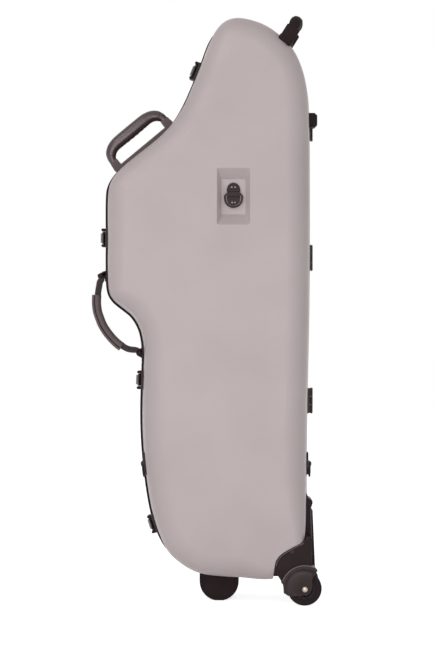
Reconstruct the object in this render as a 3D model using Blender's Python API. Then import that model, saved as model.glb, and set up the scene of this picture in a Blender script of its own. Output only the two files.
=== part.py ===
"""Baritone saxophone case: two moulded shells with wheels, handles, latches and strap rings."""
import math

import bmesh
import bpy
from mathutils import Matrix, Vector

MM = 0.001

# Moulded shells. X runs to the right, Z up, and the near shell faces -Y.
SHELL_WIDTH = 404 * MM
SHELL_HEIGHT = 1103 * MM
SHELL_LEFT = -194.5 * MM
SHELL_BOTTOM = 41 * MM
SHELL_RIGHT = SHELL_LEFT + SHELL_WIDTH
BASE_DEPTH = 155 * MM
LID_DEPTH = 95 * MM
WALL = 4 * MM
EDGE_ROUND = 42 * MM
DRAFT = math.radians(4)
SEAM_Y = (BASE_DEPTH - LID_DEPTH) / 2
GAP = 0.3 * MM
OVERRUN = 12 * MM
OUTLINE_STEPS = 2
SHARP_EDGE = math.radians(35)
OUTER_ROUND_STEPS = 4
INNER_ROUND_STEPS = 2

# Outline of both shells, clockwise from the top. Each row gives the place across and up,
# how soft the edge is there, and how far the seal stands out.
TOP_AND_RIGHT_SHARES = (
    (0.640, 0.999, 1.00, 0.3),
    (0.759, 0.989, 1.00, 0.0),
    (0.853, 0.967, 1.00, 0.0),
    (0.929, 0.936, 1.00, 0.0),
    (0.979, 0.890, 1.00, 0.0),
    (0.997, 0.833, 1.00, 0.0),
    (1.000, 0.706, 1.00, 0.0),
    (1.000, 0.543, 1.00, 0.0),
    (0.996, 0.434, 1.00, 0.0),
    (0.989, 0.316, 1.00, 0.0),
    (0.986, 0.189, 1.00, 0.0),
)
LOW_CORNER_SHARES = (
    (0.984, 0.100, 0.60, 0.0),
    (0.966, 0.050, 0.35, 0.0),
    (0.905, 0.018, 0.35, 0.0),
    (0.800, 0.000, 0.60, 0.3),
)
INNER_CORNER_SHARES = (
    (0.952, 0.101, 0.90, 0.0),
    (0.858, 0.064, 0.90, 0.0),
    (0.759, 0.028, 0.90, 0.0),
)
BOTTOM_AND_LEFT_SHARES = (
    (0.655, 0.002, 1.00, 0.5),
    (0.531, 0.005, 1.00, 0.5),
    (0.432, 0.012, 1.00, 0.5),
    (0.348, 0.030, 1.00, 0.5),
    (0.283, 0.054, 1.00, 0.7),
    (0.236, 0.094, 1.00, 1.0),
    (0.204, 0.144, 1.00, 1.0),
    (0.179, 0.217, 1.00, 1.0),
    (0.170, 0.289, 1.00, 1.0),
    (0.175, 0.362, 1.00, 1.0),
    (0.177, 0.407, 1.00, 1.0),
    (0.162, 0.442, 1.00, 1.0),
    (0.120, 0.469, 0.90, 1.0),
    (0.056, 0.488, 0.70, 1.0),
    (0.014, 0.505, 0.70, 1.0),
    (0.000, 0.534, 0.90, 1.0),
    (0.000, 0.607, 1.00, 1.0),
    (0.000, 0.679, 1.00, 1.0),
    (0.014, 0.707, 0.85, 1.0),
    (0.066, 0.732, 0.90, 1.0),
    (0.150, 0.758, 1.00, 0.7),
    (0.239, 0.784, 1.00, 0.5),
    (0.308, 0.810, 1.00, 0.5),
    (0.368, 0.844, 1.00, 0.5),
    (0.420, 0.886, 1.00, 0.5),
    (0.467, 0.929, 1.00, 0.5),
    (0.504, 0.964, 1.00, 0.5),
    (0.558, 0.989, 1.00, 0.3),
)

# Notch for the wheels. The shares follow its edge from the low left end to the right wall.
NOTCH_PLACE = (SHELL_RIGHT - 77.7 * MM, SHELL_BOTTOM + 17 * MM)
NOTCH_WIDTH = 65.7 * MM
NOTCH_HEIGHT = 75 * MM
NOTCH_SHARES = (
    (0.000, 0.000),
    (0.047, 0.290),
    (0.108, 0.438),
    (0.254, 0.578),
    (0.553, 0.736),
    (0.851, 0.867),
    (1.000, 1.000),
)

# Rubber seal on the rim of the near shell
SEAL_DEPTH = 4 * MM
SEAL_PROUD = 3.5 * MM
LID_RIM = GAP / 2
BASE_RIM = GAP / 2 + SEAL_DEPTH + GAP

# Foam lining and the two foam cradles
LINING = 12 * MM
LINING_CLEAR = 0.6 * MM
CRADLE_DEPTH = 62 * MM
CRADLE_HEIGHT = 60 * MM
BODY_CRADLE_WIDTH_SHARE = 0.52
BODY_CRADLE_SHARES = (0.536, 0.516)
BODY_CRADLE_BITE = 46 * MM
BELL_CRADLE_WIDTH_SHARE = 0.47
BELL_CRADLE_SHARES = (0.585, 0.226)
BELL_CRADLE_BITE = 50 * MM
BITE_SIDES = 16

# Recess in the near face
RECESS_SHARES = (0.6188, 0.6763)
RECESS_WIDTH = 63 * MM
RECESS_HEIGHT = 109 * MM
RECESS_FLOOR_WIDTH = 47 * MM
RECESS_FLOOR_HEIGHT = 67 * MM
RECESS_DEPTH = 20 * MM

# Hinges on the right edge, at shares of the shells' height
HINGE_HEIGHT_SHARES = (0.3155, 0.5739, 0.8087)
HINGE_LENGTH = 50 * MM
KNUCKLE_RADIUS = 2.7 * MM
HINGE_PIN_RADIUS = 1.2 * MM
HINGE_BORE_RADIUS = 1.5 * MM
HINGE_HEAD_RADIUS = 2.3 * MM
HINGE_HEAD = 1 * MM
LEAF_REACH = 22 * MM
LEAF_THICKNESS = 1.8 * MM
LEAF_EDGE = 0.7 * MM
LEAF_WEB = 2 * MM
HINGE_AXIS_X = SHELL_RIGHT + GAP + KNUCKLE_RADIUS

# Bumper beside the top hinge
BUMPER_RISE = 11 * MM
BUMPER_LENGTH = 29 * MM
BUMPER_DEPTHS = (26 * MM, 52 * MM)
BUMPER_PROUD = 13 * MM
BUMPER_CHAMFER = 5 * MM

# Draw latches on the left edge, at shares of the shells' height
LATCH_HEIGHT_SHARES = (0.0961, 0.3536, 0.6092, 0.9075)
LATCH_PLATE_LENGTH = 37 * MM
LATCH_PLATE_NEAR = 39 * MM
LATCH_PLATE_FAR = 6.5 * MM
LATCH_PLATE_TOP = 2.2 * MM
LATCH_PIVOT = (12 * MM, 8 * MM)
LATCH_PIN_RADIUS = 1.5 * MM
LATCH_BORE_RADIUS = 1.8 * MM
LATCH_EAR_RADIUS = 3 * MM
LATCH_EAR_INNER = 4 * MM
LATCH_EAR_OUTER = 7 * MM
LEVER_CHEEK = 2 * MM
LEVER_NOSE_RADIUS = 5.4 * MM
LEVER_TIP_NEAR = 37 * MM
LEVER_TIP_TOP = 8.5 * MM
LEVER_CHANNEL_END = 5.6 * MM
LEVER_SKIN = 1.8 * MM
BAIL_PIVOT = (21 * MM, 6.5 * MM)
BAIL_EYE_RADIUS = 3.2 * MM
BAIL_LEG = 2.4 * MM
BAIL_THICKNESS = 2.2 * MM
BAIL_BAR_FAR = -17 * MM
BAIL_BAR_NEAR = -13.5 * MM
BAIL_BAR_UNDER = 3.6 * MM
BAIL_LEG_UNDER = 4.9 * MM
KEEPER_FAR = -30 * MM
KEEPER_NEAR = -6.5 * MM
KEEPER_TOP = 2 * MM
KEEPER_LENGTH = 28 * MM
KEEPER_RIDGE_TOP = 3.2 * MM
KEEPER_RIDGE_FAR = -12.6 * MM
KEEPER_RIDGE_NEAR = -9.5 * MM
KEEPER_RIDGE_LENGTH = 18 * MM

# Strap plates and their D-rings
STRAP_PLATE_WIDTH = 26 * MM
STRAP_PLATE_HEIGHT = 45 * MM
STRAP_PLATE_TOP = 2.4 * MM
SADDLE_WIDTH = 24 * MM
SADDLE_HEIGHT = 10 * MM
SADDLE_TOP = 8.4 * MM
RING_WIRE_RADIUS = 1.9 * MM
RING_BORE_RADIUS = 2.3 * MM
RING_AXIS_OUT = 5 * MM
RING_HALF_WIDTH = 16.5 * MM
RING_DROP = 8.6 * MM
RING_CORNER = 3 * MM
RING_BOW_STEPS = 10
SIDE_RING_HEIGHT_SHARE = 0.2058
SIDE_RING_DEPTH = 62 * MM

# Moulded handles. The grip's rows give its place along and out, and its thickness.
HANDLE_WIDTH = 27 * MM
HANDLE_PLATE = 5.5 * MM
HANDLE_SOCKET_HEIGHT = 21 * MM
HANDLE_SOCKET_LENGTH = 18.5 * MM
HANDLE_SOCKET_LEAN = 2 * MM
HANDLE_FILLET = 3 * MM
HANDLE_BULGE = 7 * MM
HANDLE_FOOT = 5 * MM
HANDLE_ROOT = 14 * MM
GRIP_RADIUS = 13.2 * MM
GRIP_SIDES = 12
GRIP_SHARES = (
    (0.861, 0.425, 0.64),
    (0.838, 0.520, 0.72),
    (0.775, 0.633, 0.81),
    (0.675, 0.720, 0.87),
    (0.554, 0.765, 0.92),
    (0.405, 0.778, 0.97),
    (0.000, 0.776, 1.00),
)
GRAB_HANDLE_LENGTH = 149 * MM
GRAB_HANDLE_RISE = 58.5 * MM
GRAB_HANDLE_HEIGHT_SHARE = 0.7688
GRAB_HANDLE_DEPTH = 60 * MM
GRAB_HANDLE_TILT = math.radians(1.1)
PULL_HANDLE_LENGTH = 134 * MM
PULL_HANDLE_RISE = 56 * MM
PULL_HANDLE_HEIGHT_SHARE = 0.9583
PULL_HANDLE_DEPTH = 73 * MM
PULL_HANDLE_TILT = math.radians(13)

# Swinging carry handle on the left edge
CARRY_DEPTH = 15 * MM
CARRY_HEIGHT_SHARES = (0.5412, 0.4025)
CARRY_TOP_REACH = 12.4 * MM
CARRY_LOW_REACH = 7.5 * MM
CARRY_BOSS_RADIUS = 7.2 * MM
CARRY_BOSS_END_RADIUS = 5.5 * MM
CARRY_BOSS_LENGTH = 11 * MM
CARRY_BOSS_STRAIGHT = 4.4 * MM
CARRY_PLATE_LENGTH = 45 * MM
CARRY_PLATE_TOP = 2.2 * MM
CARRY_PLATE_DEPTHS = (6.5 * MM, 24 * MM)
CARRY_NECK_LENGTH = 8 * MM
CARRY_NECK_WIDTH = 11 * MM
CARRY_NECK_REACH = 18 * MM
CARRY_STRAP_THICKNESS = 11 * MM
CARRY_STRAP_WIDTH = 17 * MM
CARRY_END_SHARE = 0.8
CARRY_SLEEVE_THICKNESS = 18.5 * MM
CARRY_SLEEVE_WIDTH = 25 * MM
CARRY_SLEEVE_OFFSET = 2.3 * MM
CARRY_STEPS = 3
CARRY_ROUTE_SHARES = (
    (-0.030, 0.080),
    (-0.058, 0.150),
    (-0.084, 0.250),
    (-0.084, 0.414),
    (-0.005, 0.551),
    (0.090, 0.659),
    (0.280, 0.790),
    (0.530, 0.907),
    (0.745, 0.957),
)
CARRY_SLEEVE_FIRST = 2
CARRY_SLEEVE_LAST = 7

# Wheel unit at the lower right corner
WHEEL_RADIUS = 33 * MM
WHEEL_PLACE = (SHELL_RIGHT - 17.2 * MM, WHEEL_RADIUS)
WHEEL_WIDTH = 20 * MM
WHEEL_DEPTHS = (24 * MM, BASE_DEPTH - 19 * MM)
TYRE_BORE = WHEEL_RADIUS - 12 * MM
TYRE_CROWN = 3 * MM
HUB_RIM = TYRE_BORE - 5.5 * MM
HUB_WEB = 5 * MM
HUB_BOSS = 8 * MM
HUB_SIDE = 1 * MM
AXLE_RADIUS = 4 * MM
AXLE_BORE = 4.3 * MM
AXLE_HEAD_RADIUS = 5.5 * MM
AXLE_HEAD = 2 * MM
FENDER_RADIUS = WHEEL_RADIUS + 13 * MM
FENDER_THICKNESS = 3 * MM
FENDER_CHEEK = 3 * MM
FENDER_CLEAR = 2.5 * MM
FENDER_REACH = 28 * MM
FENDER_START = math.radians(163)
FENDER_END = math.radians(65)
FENDER_STEPS = 10
SPUR_TIP = (25 * MM, 35 * MM)
SPUR_THICKNESS = 3.2 * MM
CHEEK_SHARES = (
    (0.343, 0.665),
    (0.309, 0.630),
    (0.309, 0.033),
    (0.233, -0.165),
    (0.076, -0.265),
    (-0.689, -0.283),
    (-0.880, -0.165),
    (-0.904, 0.133),
)
BRACKET_DEPTHS = (12 * MM, BASE_DEPTH - 7 * MM)
BRACKET_FOOT = NOTCH_PLACE[0] + 9.2 * MM
BRACKET_RIGHT = SHELL_RIGHT - 3.5 * MM
ARM_DEPTHS = (34 * MM, 92 * MM)
ARM_PLACE = (SHELL_RIGHT - 19.5 * MM, SHELL_BOTTOM + 19 * MM)
ARM_WIDTH = 25 * MM
ARM_HEIGHT = 150 * MM
ARM_SHARES = (
    (0.000, 0.000),
    (0.900, 0.000),
    (1.000, 0.055),
    (0.816, 0.790),
    (0.708, 0.800),
    (0.708, 0.830),
    (0.764, 0.855),
    (0.816, 0.886),
    (0.800, 0.915),
    (0.708, 0.932),
    (0.460, 0.955),
    (0.380, 1.000),
    (0.000, 1.000),
)
BRACKET_SCREW_PLACE = (NOTCH_PLACE[0] + 36.2 * MM, NOTCH_PLACE[1] + 47 * MM)
BRACKET_SCREW_RADIUS = 3.4 * MM
BRACKET_SCREW_HEAD = 1.6 * MM

# Rubber foot under the middle
FOOT_ACROSS_SHARE = 0.5507
FOOT_RADIUS = 38.5 * MM
FOOT_FLAT = 16 * MM
FOOT_DEPTHS = (8 * MM, 72 * MM)
FOOT_RIM = 4 * MM
FOOT_DISH = 2 * MM
FOOT_STEPS = 14

TYRE_SIDES = 28
ROUND_SIDES = 14
SMALL_SIDES = 12
PIN_SIDES = 8


def clear_scene():
    for thing in list(bpy.data.objects):
        bpy.data.objects.remove(thing)


def material(name, colour, roughness, metallic=0.0):
    made = bpy.data.materials.new(name)
    made.use_nodes = True
    shader = made.node_tree.nodes["Principled BSDF"]
    shader.inputs["Base Color"].default_value = (*colour, 1.0)
    shader.inputs["Roughness"].default_value = roughness
    shader.inputs["Metallic"].default_value = metallic
    made.diffuse_color = (*colour, 1.0)
    return made


def mesh_object(name, points, faces, finish, smooth=True):
    mesh = bpy.data.meshes.new(name)
    mesh.from_pydata([tuple(point) for point in points], [], faces)
    shape = bmesh.new()
    shape.from_mesh(mesh)
    bmesh.ops.recalc_face_normals(shape, faces=shape.faces)
    shape.to_mesh(mesh)
    shape.free()
    if smooth:
        mesh.shade_smooth()
        mesh.set_sharp_from_angle(angle=SHARP_EDGE)
    mesh.materials.append(finish)
    made = bpy.data.objects.new(name, mesh)
    bpy.context.scene.collection.objects.link(made)
    return made


def combine(piece, other, operation):
    """Unites a piece with a helper shape, or cuts the helper from it."""
    step = piece.modifiers.new(other.name, "BOOLEAN")
    step.operation = operation
    step.solver = "EXACT"
    step.object = other
    other.hide_render = True
    other.display_type = "WIRE"


def add(piece, other):
    combine(piece, other, "UNION")


def cut(piece, other):
    combine(piece, other, "DIFFERENCE")


def set_origin(piece, point):
    """Puts a piece's own origin on its joint axis, with the shape where it was."""
    piece.data.transform(Matrix.Translation(-point))
    piece.location = point


def frame(first, second, third, origin):
    """A placing matrix from three directions and an origin."""
    rows = Matrix((first, second, third)).transposed().to_4x4()
    rows.translation = origin
    return rows


DEPTH_FRAME = frame((1, 0, 0), (0, 0, 1), (0, -1, 0), (0, SEAM_Y, 0))
HEIGHT_FRAME = frame((1, 0, 0), (0, -1, 0), (0, 0, 1), (0, SEAM_Y, 0))


def spot(across, depth, up):
    """A place given across, in depth towards the viewer from the seam, and up."""
    return Vector((across, SEAM_Y - depth, up))


def on_shell(across, up):
    """The place across and up at two shares of the shells' width and height."""
    return SHELL_LEFT + across * SHELL_WIDTH, SHELL_BOTTOM + up * SHELL_HEIGHT


def height_at(share):
    return SHELL_BOTTOM + share * SHELL_HEIGHT


def bridge_rings(name, rings, finish, closed=False, halved=False):
    """A skin through rings of points, with a face on each end unless it closes on itself."""
    count = len(rings[0])
    points = [point for ring in rings for point in ring]
    faces = []
    spans = len(rings) if closed else len(rings) - 1
    for level in range(spans):
        low = level * count
        high = ((level + 1) % len(rings)) * count
        for index in range(count):
            after = (index + 1) % count
            if halved:
                faces.append((low + index, low + after, high + after))
                faces.append((low + index, high + after, high + index))
            else:
                faces.append((low + index, low + after, high + after, high + index))
    if not closed:
        faces.append(tuple(range(count)))
        faces.append(tuple(range(len(points) - count, len(points))))
    return mesh_object(name, points, faces, finish)


def prism(name, outline, low, high, place, finish):
    """A flat outline drawn out along the third direction of its frame."""
    rings = [[place @ Vector((a, b, level)) for a, b in outline] for level in (low, high)]
    return bridge_rings(name, rings, finish)


def circle(centre, radius, sides):
    """Points round a circle, with a flat at the bottom."""
    turn = 2 * math.pi / sides
    angles = [turn * (index + 0.5) for index in range(sides)]
    return [(centre[0] + radius * math.cos(a), centre[1] + radius * math.sin(a)) for a in angles]


def rectangle(low, high):
    return [low, (high[0], low[1]), high, (low[0], high[1])]


def rod(name, centre, radius, low, high, place, finish, sides=SMALL_SIDES):
    return prism(name, circle(centre, radius, sides), low, high, place, finish)


def block(name, low, high, place, finish):
    """A box between two corners given in a frame."""
    return prism(name, rectangle(low[:2], high[:2]), low[2], high[2], place, finish)


def arc(centre, radius, start, end, steps):
    angles = [start + (end - start) * index / steps for index in range(steps + 1)]
    return [(centre[0] + radius * math.cos(a), centre[1] + radius * math.sin(a)) for a in angles]


def turned(name, profile, place, finish, sides):
    """Revolves a closed profile of (radius, along) round the third direction of its frame."""
    rings = []
    for index in range(sides):
        turn = 2 * math.pi * (index + 0.5) / sides
        rings.append([place @ Vector((r * math.cos(turn), r * math.sin(turn), along))
                      for r, along in profile])
    return bridge_rings(name, rings, finish, closed=True)


def swept(name, path, section, side, finish, closed=False, sizes=None, ends=None):
    """Draws a section along a path square to one side direction, in the given thicknesses."""
    rings = []
    sizes = sizes or [1] * len(path)
    last = len(path) - 1
    for index, point in enumerate(path):
        before = path[index - 1] if closed or index > 0 else point
        after = path[(index + 1) % len(path)] if closed or index < last else point
        along = (after - before).normalized()
        if ends and index in (0, last):
            along = ends
        out = along.cross(side)
        size = sizes[index]
        rings.append([point + out * (a * size) + side * b for a, b in section])
    return bridge_rings(name, rings, finish, closed)


def rounded_section(thickness, width, offset=0):
    """An eight-sided section with soft corners, moved out by offset."""
    soft = thickness / 4
    high = offset + thickness / 2
    low = offset - thickness / 2
    b = width / 2
    return [(high, b - soft), (high - soft, b), (low + soft, b), (low, b - soft),
            (low, soft - b), (low + soft, -b), (high - soft, -b), (high, soft - b)]


def smooth_through(points, steps, closed):
    """Points on a smooth curve through the given rows of numbers."""
    count = len(points)
    spans = count if closed else count - 1
    traced = []
    for index in range(spans):
        rows = []
        for shift in (-1, 0, 1, 2):
            place = index + shift
            rows.append(points[place % count] if closed else points[min(max(place, 0), count - 1)])
        for step in range(steps):
            traced.append(curve_row(rows, step / steps))
    if not closed:
        traced.append(points[-1])
    return traced


def curve_row(rows, t):
    """One row on the cubic that passes through the two middle rows."""
    before, start, end, after = rows
    made = []
    for p, q, r, s in zip(before, start, end, after):
        slope = (r - p) / 2
        next_slope = (s - q) / 2
        bend = 3 * (r - q) - 2 * slope - next_slope
        twist = 2 * (q - r) + slope + next_slope
        made.append(q + slope * t + bend * t * t + twist * t * t * t)
    return made


def trace_outline(shares):
    """Outline samples: place, outward direction, softness and how far the seal stands out."""
    rows = smooth_through(shares, OUTLINE_STEPS, closed=True)
    places = [Vector(on_shell(row[0], row[1])) for row in rows]
    samples = []
    for index, row in enumerate(rows):
        along = (places[(index + 1) % len(rows)] - places[index - 1]).normalized()
        samples.append((places[index], Vector((-along.y, along.x)), row[2], row[3]))
    return samples


OUTLINE = trace_outline(TOP_AND_RIGHT_SHARES + LOW_CORNER_SHARES + BOTTOM_AND_LEFT_SHARES)
HOLLOW_OUTLINE = trace_outline(TOP_AND_RIGHT_SHARES + INNER_CORNER_SHARES + BOTTOM_AND_LEFT_SHARES)


def edge_at(height, side):
    """Place and outward direction where the outline crosses a height, on its left or right."""
    found = []
    for index, sample in enumerate(OUTLINE):
        other = OUTLINE[index - 1]
        low = min(sample[0].y, other[0].y)
        high = max(sample[0].y, other[0].y)
        if low <= height < high:
            share = (height - other[0].y) / (sample[0].y - other[0].y)
            found.append((other[0].lerp(sample[0], share), other[1].lerp(sample[1], share)))
    found.sort(key=lambda pair: pair[0].x * side)
    place, out = found[-1]
    return place, out.normalized()


def shell_ring(outline, side, depths, insets):
    """One ring of a shell: each sample moved in from the outline and away from the seam."""
    ring = []
    for (place, out, _, _), depth, inset in zip(outline, depths, insets):
        moved = place - out * inset
        ring.append(Vector((moved.x, SEAM_Y - side * depth, moved.y)))
    return ring


def shell_form(name, outline, side, rims, depth, shift, steps, finish):
    """A solid half shell, its surface set in by shift, with drafted sides and rounded edges."""
    slope = math.tan(DRAFT)
    softness = [sample[2] for sample in outline]
    rings = []
    for rim in rims:
        rings.append(shell_ring(outline, side, [rim] * len(outline),
                                [shift + slope * rim] * len(outline)))
    for step in range(steps + 1):
        turn = math.pi / 2 * step / steps
        depths = []
        insets = []
        for soft in softness:
            radius = EDGE_ROUND * soft - shift
            start = depth - shift - radius
            depths.append(start + radius * math.sin(turn))
            insets.append(shift + slope * start + radius * (1 - math.cos(turn)))
        rings.append(shell_ring(outline, side, depths, insets))
    return bridge_rings(name, rings, finish, halved=True)


def half_shell(name, side, rim, depth, finish):
    """One moulded shell: the outer form less the hollow."""
    shell = shell_form(name, OUTLINE, side, (rim,), depth, 0, OUTER_ROUND_STEPS, finish)
    hollow = shell_form(name + "_hollow", HOLLOW_OUTLINE, side, (-OVERRUN, rim), depth, WALL,
                        INNER_ROUND_STEPS, finish)
    cut(shell, hollow)
    return shell, hollow


def half_lining(name, side, rim, depth, finish):
    """Foam that lies inside one shell, and the bay that hollows it in turn."""
    skin = WALL + LINING_CLEAR
    lining = shell_form(name, HOLLOW_OUTLINE, side, (rim,), depth, skin, INNER_ROUND_STEPS, finish)
    bay = shell_form(name + "_bay", HOLLOW_OUTLINE, side, (-OVERRUN, rim), depth, skin + LINING,
                     INNER_ROUND_STEPS, finish)
    cut(lining, bay)
    return lining, bay


def seam_seal(finish):
    """The rubber profile on the near shell's rim. It stands out on the opening side."""
    rings = []
    for depth in (LID_RIM, LID_RIM + SEAL_DEPTH):
        drawn_in = math.tan(DRAFT) * depth
        insets = [drawn_in - SEAL_PROUD * sample[3] for sample in OUTLINE]
        rings.append(shell_ring(OUTLINE, 1, [depth] * len(OUTLINE), insets))
    return bridge_rings("seam_seal", rings, finish)


def notch_edge(spare):
    """The edge of the wheel notch, drawn in by spare to the right and down."""
    x, z = NOTCH_PLACE
    points = [(x + spare + across * NOTCH_WIDTH, z - spare + up * NOTCH_HEIGHT)
              for across, up in NOTCH_SHARES]
    return smooth_through(points, OUTLINE_STEPS, closed=False)


def notch_form(name, spare, finish):
    """The corner that the wheels take out of both shells."""
    edge = notch_edge(spare)
    right = SHELL_RIGHT + OVERRUN
    low = SHELL_BOTTOM - OVERRUN
    outline = edge + [(right, edge[-1][1]), (right, low), (edge[0][0], low)]
    return prism(name, outline, -LID_DEPTH - OVERRUN, BASE_DEPTH + OVERRUN, DEPTH_FRAME, finish)


def recess_form(name, spare, finish):
    """The tapered recess, grown by spare on its sides and floor."""
    rings = []
    slope_x = (RECESS_WIDTH - RECESS_FLOOR_WIDTH) / 2 / RECESS_DEPTH
    slope_z = (RECESS_HEIGHT - RECESS_FLOOR_HEIGHT) / 2 / RECESS_DEPTH
    for depth in (BASE_DEPTH + OVERRUN, BASE_DEPTH - RECESS_DEPTH - spare):
        rise = depth - (BASE_DEPTH - RECESS_DEPTH)
        half_x = RECESS_FLOOR_WIDTH / 2 + slope_x * rise + spare * math.hypot(1, slope_x)
        half_z = RECESS_FLOOR_HEIGHT / 2 + slope_z * rise + spare * math.hypot(1, slope_z)
        x, z = on_shell(*RECESS_SHARES)
        rings.append([spot(x + half_x, depth, z + half_z), spot(x + half_x, depth, z - half_z),
                      spot(x - half_x, depth, z - half_z), spot(x - half_x, depth, z + half_z)])
    return bridge_rings(name, rings, finish)


def cradle(name, shares, width_share, bite, finish):
    """A foam block on the lining's floor with a round bite for the tube of the instrument."""
    place = on_shell(*shares)
    width = SHELL_WIDTH * width_share
    floor = BASE_DEPTH - WALL - LINING_CLEAR - LINING - GAP
    top = floor - CRADLE_DEPTH
    outline = arc((place[0], top), bite, 0, math.pi, BITE_SIDES)
    outline.append((place[0] - width / 2, top))
    outline.append((place[0] - width / 2, floor))
    outline.append((place[0] + width / 2, floor))
    outline.append((place[0] + width / 2, top))
    low = place[1] - CRADLE_HEIGHT / 2
    return prism(name, outline, low, low + CRADLE_HEIGHT, HEIGHT_FRAME, finish)


def hinge_leaf(name, height, side, form, finish):
    """One leaf: a plate on the shell wall, a short web and the knuckles round the pin."""
    wall_x = edge_at(height, 1)[0].x
    root = wall_x - WALL
    face = wall_x + LEAF_THICKNESS
    lean = math.tan(DRAFT) * LEAF_REACH
    outline = [(root, LEAF_EDGE * side), (HINGE_AXIS_X, LEAF_EDGE * side),
               (HINGE_AXIS_X, LEAF_WEB * side), (face, LEAF_WEB * side),
               (face - lean, LEAF_REACH * side), (root, LEAF_REACH * side)]
    low = height - HINGE_LENGTH / 2
    high = height + HINGE_LENGTH / 2
    third = HINGE_LENGTH / 3
    leaf = prism(name, outline, low, high, HEIGHT_FRAME, finish)
    reach = KNUCKLE_RADIUS + GAP
    own = ((low, low + third), (high - third, high)) if side > 0 else ((low + third, high - third),)
    free = ((low + third, high - third),) if side > 0 else ((low, low + third), (high - third, high))
    for index, (start, end) in enumerate(free):
        cut(leaf, block(f"{name}_clear_{index}", (HINGE_AXIS_X - reach, -reach, start - GAP),
                        (HINGE_AXIS_X + reach, reach, end + GAP), HEIGHT_FRAME, finish))
    for index, (start, end) in enumerate(own):
        inner = GAP / 2
        add(leaf, rod(f"{name}_knuckle_{index}", (HINGE_AXIS_X, 0), KNUCKLE_RADIUS,
                      start + inner, end - inner, HEIGHT_FRAME, finish))
    cut(leaf, rod(name + "_bore", (HINGE_AXIS_X, 0), HINGE_BORE_RADIUS, low - OVERRUN,
                  high + OVERRUN, HEIGHT_FRAME, finish, PIN_SIDES))
    cut(leaf, form)
    return leaf


def hinge_pin(name, height, finish):
    """A headed pin through the knuckles."""
    half = HINGE_LENGTH / 2 + GAP
    rings = []
    place = frame((1, 0, 0), (0, -1, 0), (0, 0, 1), (HINGE_AXIS_X, SEAM_Y, height))
    for radius, along in ((HINGE_HEAD_RADIUS, -half - HINGE_HEAD), (HINGE_HEAD_RADIUS, -half),
                          (HINGE_PIN_RADIUS, -half), (HINGE_PIN_RADIUS, half),
                          (HINGE_HEAD_RADIUS, half), (HINGE_HEAD_RADIUS, half + HINGE_HEAD)):
        rings.append([place @ Vector((a, b, along)) for a, b in circle((0, 0), radius, PIN_SIDES)])
    return bridge_rings(name, rings, finish)


def bumper(form, finish):
    """A chamfered block that guards the top hinge."""
    middle = height_at(HINGE_HEIGHT_SHARES[-1]) + BUMPER_RISE
    wall_x = edge_at(middle, 1)[0].x
    face = wall_x + BUMPER_PROUD
    low = middle - BUMPER_LENGTH / 2
    high = middle + BUMPER_LENGTH / 2
    outline = [(wall_x - OVERRUN, low), (face - BUMPER_CHAMFER, low), (face, low + BUMPER_CHAMFER),
               (face, high - BUMPER_CHAMFER), (face - BUMPER_CHAMFER, high), (wall_x - OVERRUN, high)]
    made = prism("hinge_bumper", outline, BUMPER_DEPTHS[0], BUMPER_DEPTHS[1], DEPTH_FRAME, finish)
    cut(made, form)
    return made


def latch_frame(height):
    """Directions at a latch: towards the viewer, out of the wall, and along the edge."""
    place, out = edge_at(height, -1)
    return frame((0, -1, 0), (out.x, 0, out.y), (-out.y, 0, out.x), (place.x, SEAM_Y, place.y))


def latch_plate(name, place, form, finish):
    """The plate on the near shell with two ears and the lever's pin."""
    half = LATCH_PLATE_LENGTH / 2
    plate = block(name, (LATCH_PLATE_FAR, -OVERRUN, -half), (LATCH_PLATE_NEAR, LATCH_PLATE_TOP, half),
                  place, finish)
    cut(plate, form)
    near, out = LATCH_PIVOT
    for side in (-1, 1):
        outline = arc(LATCH_PIVOT, LATCH_EAR_RADIUS, 0, math.pi, SMALL_SIDES // 2)
        outline.append((near - LATCH_EAR_RADIUS, LATCH_PLATE_TOP / 2))
        outline.append((near + LATCH_EAR_RADIUS, LATCH_PLATE_TOP / 2))
        add(plate, prism(f"{name}_ear_{side}", outline, side * LATCH_EAR_INNER,
                         side * LATCH_EAR_OUTER, place, finish))
    end = LATCH_EAR_OUTER + LEVER_CHEEK
    add(plate, rod(name + "_pin", (near, out), LATCH_PIN_RADIUS, -end, end, place, finish))
    return plate


def latch_lever(name, place, finish):
    """The lever: a channel over the ears, with a stub on each side for the bail."""
    near, out = LATCH_PIVOT
    half = LATCH_EAR_OUTER + GAP + LEVER_CHEEK
    outline = arc(LATCH_PIVOT, LEVER_NOSE_RADIUS, -math.pi / 2, -3 * math.pi / 2, SMALL_SIDES // 2 + 1)
    outline.append((LEVER_TIP_NEAR - LEVER_NOSE_RADIUS, LEVER_TIP_TOP + LEVER_SKIN))
    outline.append((LEVER_TIP_NEAR, LEVER_TIP_TOP))
    outline.append((LEVER_TIP_NEAR, LEVER_TIP_TOP - LEVER_SKIN))
    outline.append((LEVER_TIP_NEAR - LEVER_NOSE_RADIUS, out - LEVER_NOSE_RADIUS))
    lever = prism(name, outline, -half, half, place, finish)
    inner = LATCH_EAR_OUTER + GAP
    cut(lever, block(name + "_channel", (near - OVERRUN, out - OVERRUN, -inner),
                     (near + LEVER_CHANNEL_END, out + LEVER_NOSE_RADIUS - LEVER_SKIN, inner),
                     place, finish))
    cut(lever, rod(name + "_bore", LATCH_PIVOT, LATCH_BORE_RADIUS, -OVERRUN, OVERRUN, place, finish))
    stub = half + GAP + BAIL_LEG
    add(lever, rod(name + "_stub", BAIL_PIVOT, LATCH_PIN_RADIUS, -stub, stub, place, finish))
    set_origin(lever, place @ Vector((near, out, 0)))
    return lever


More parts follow.
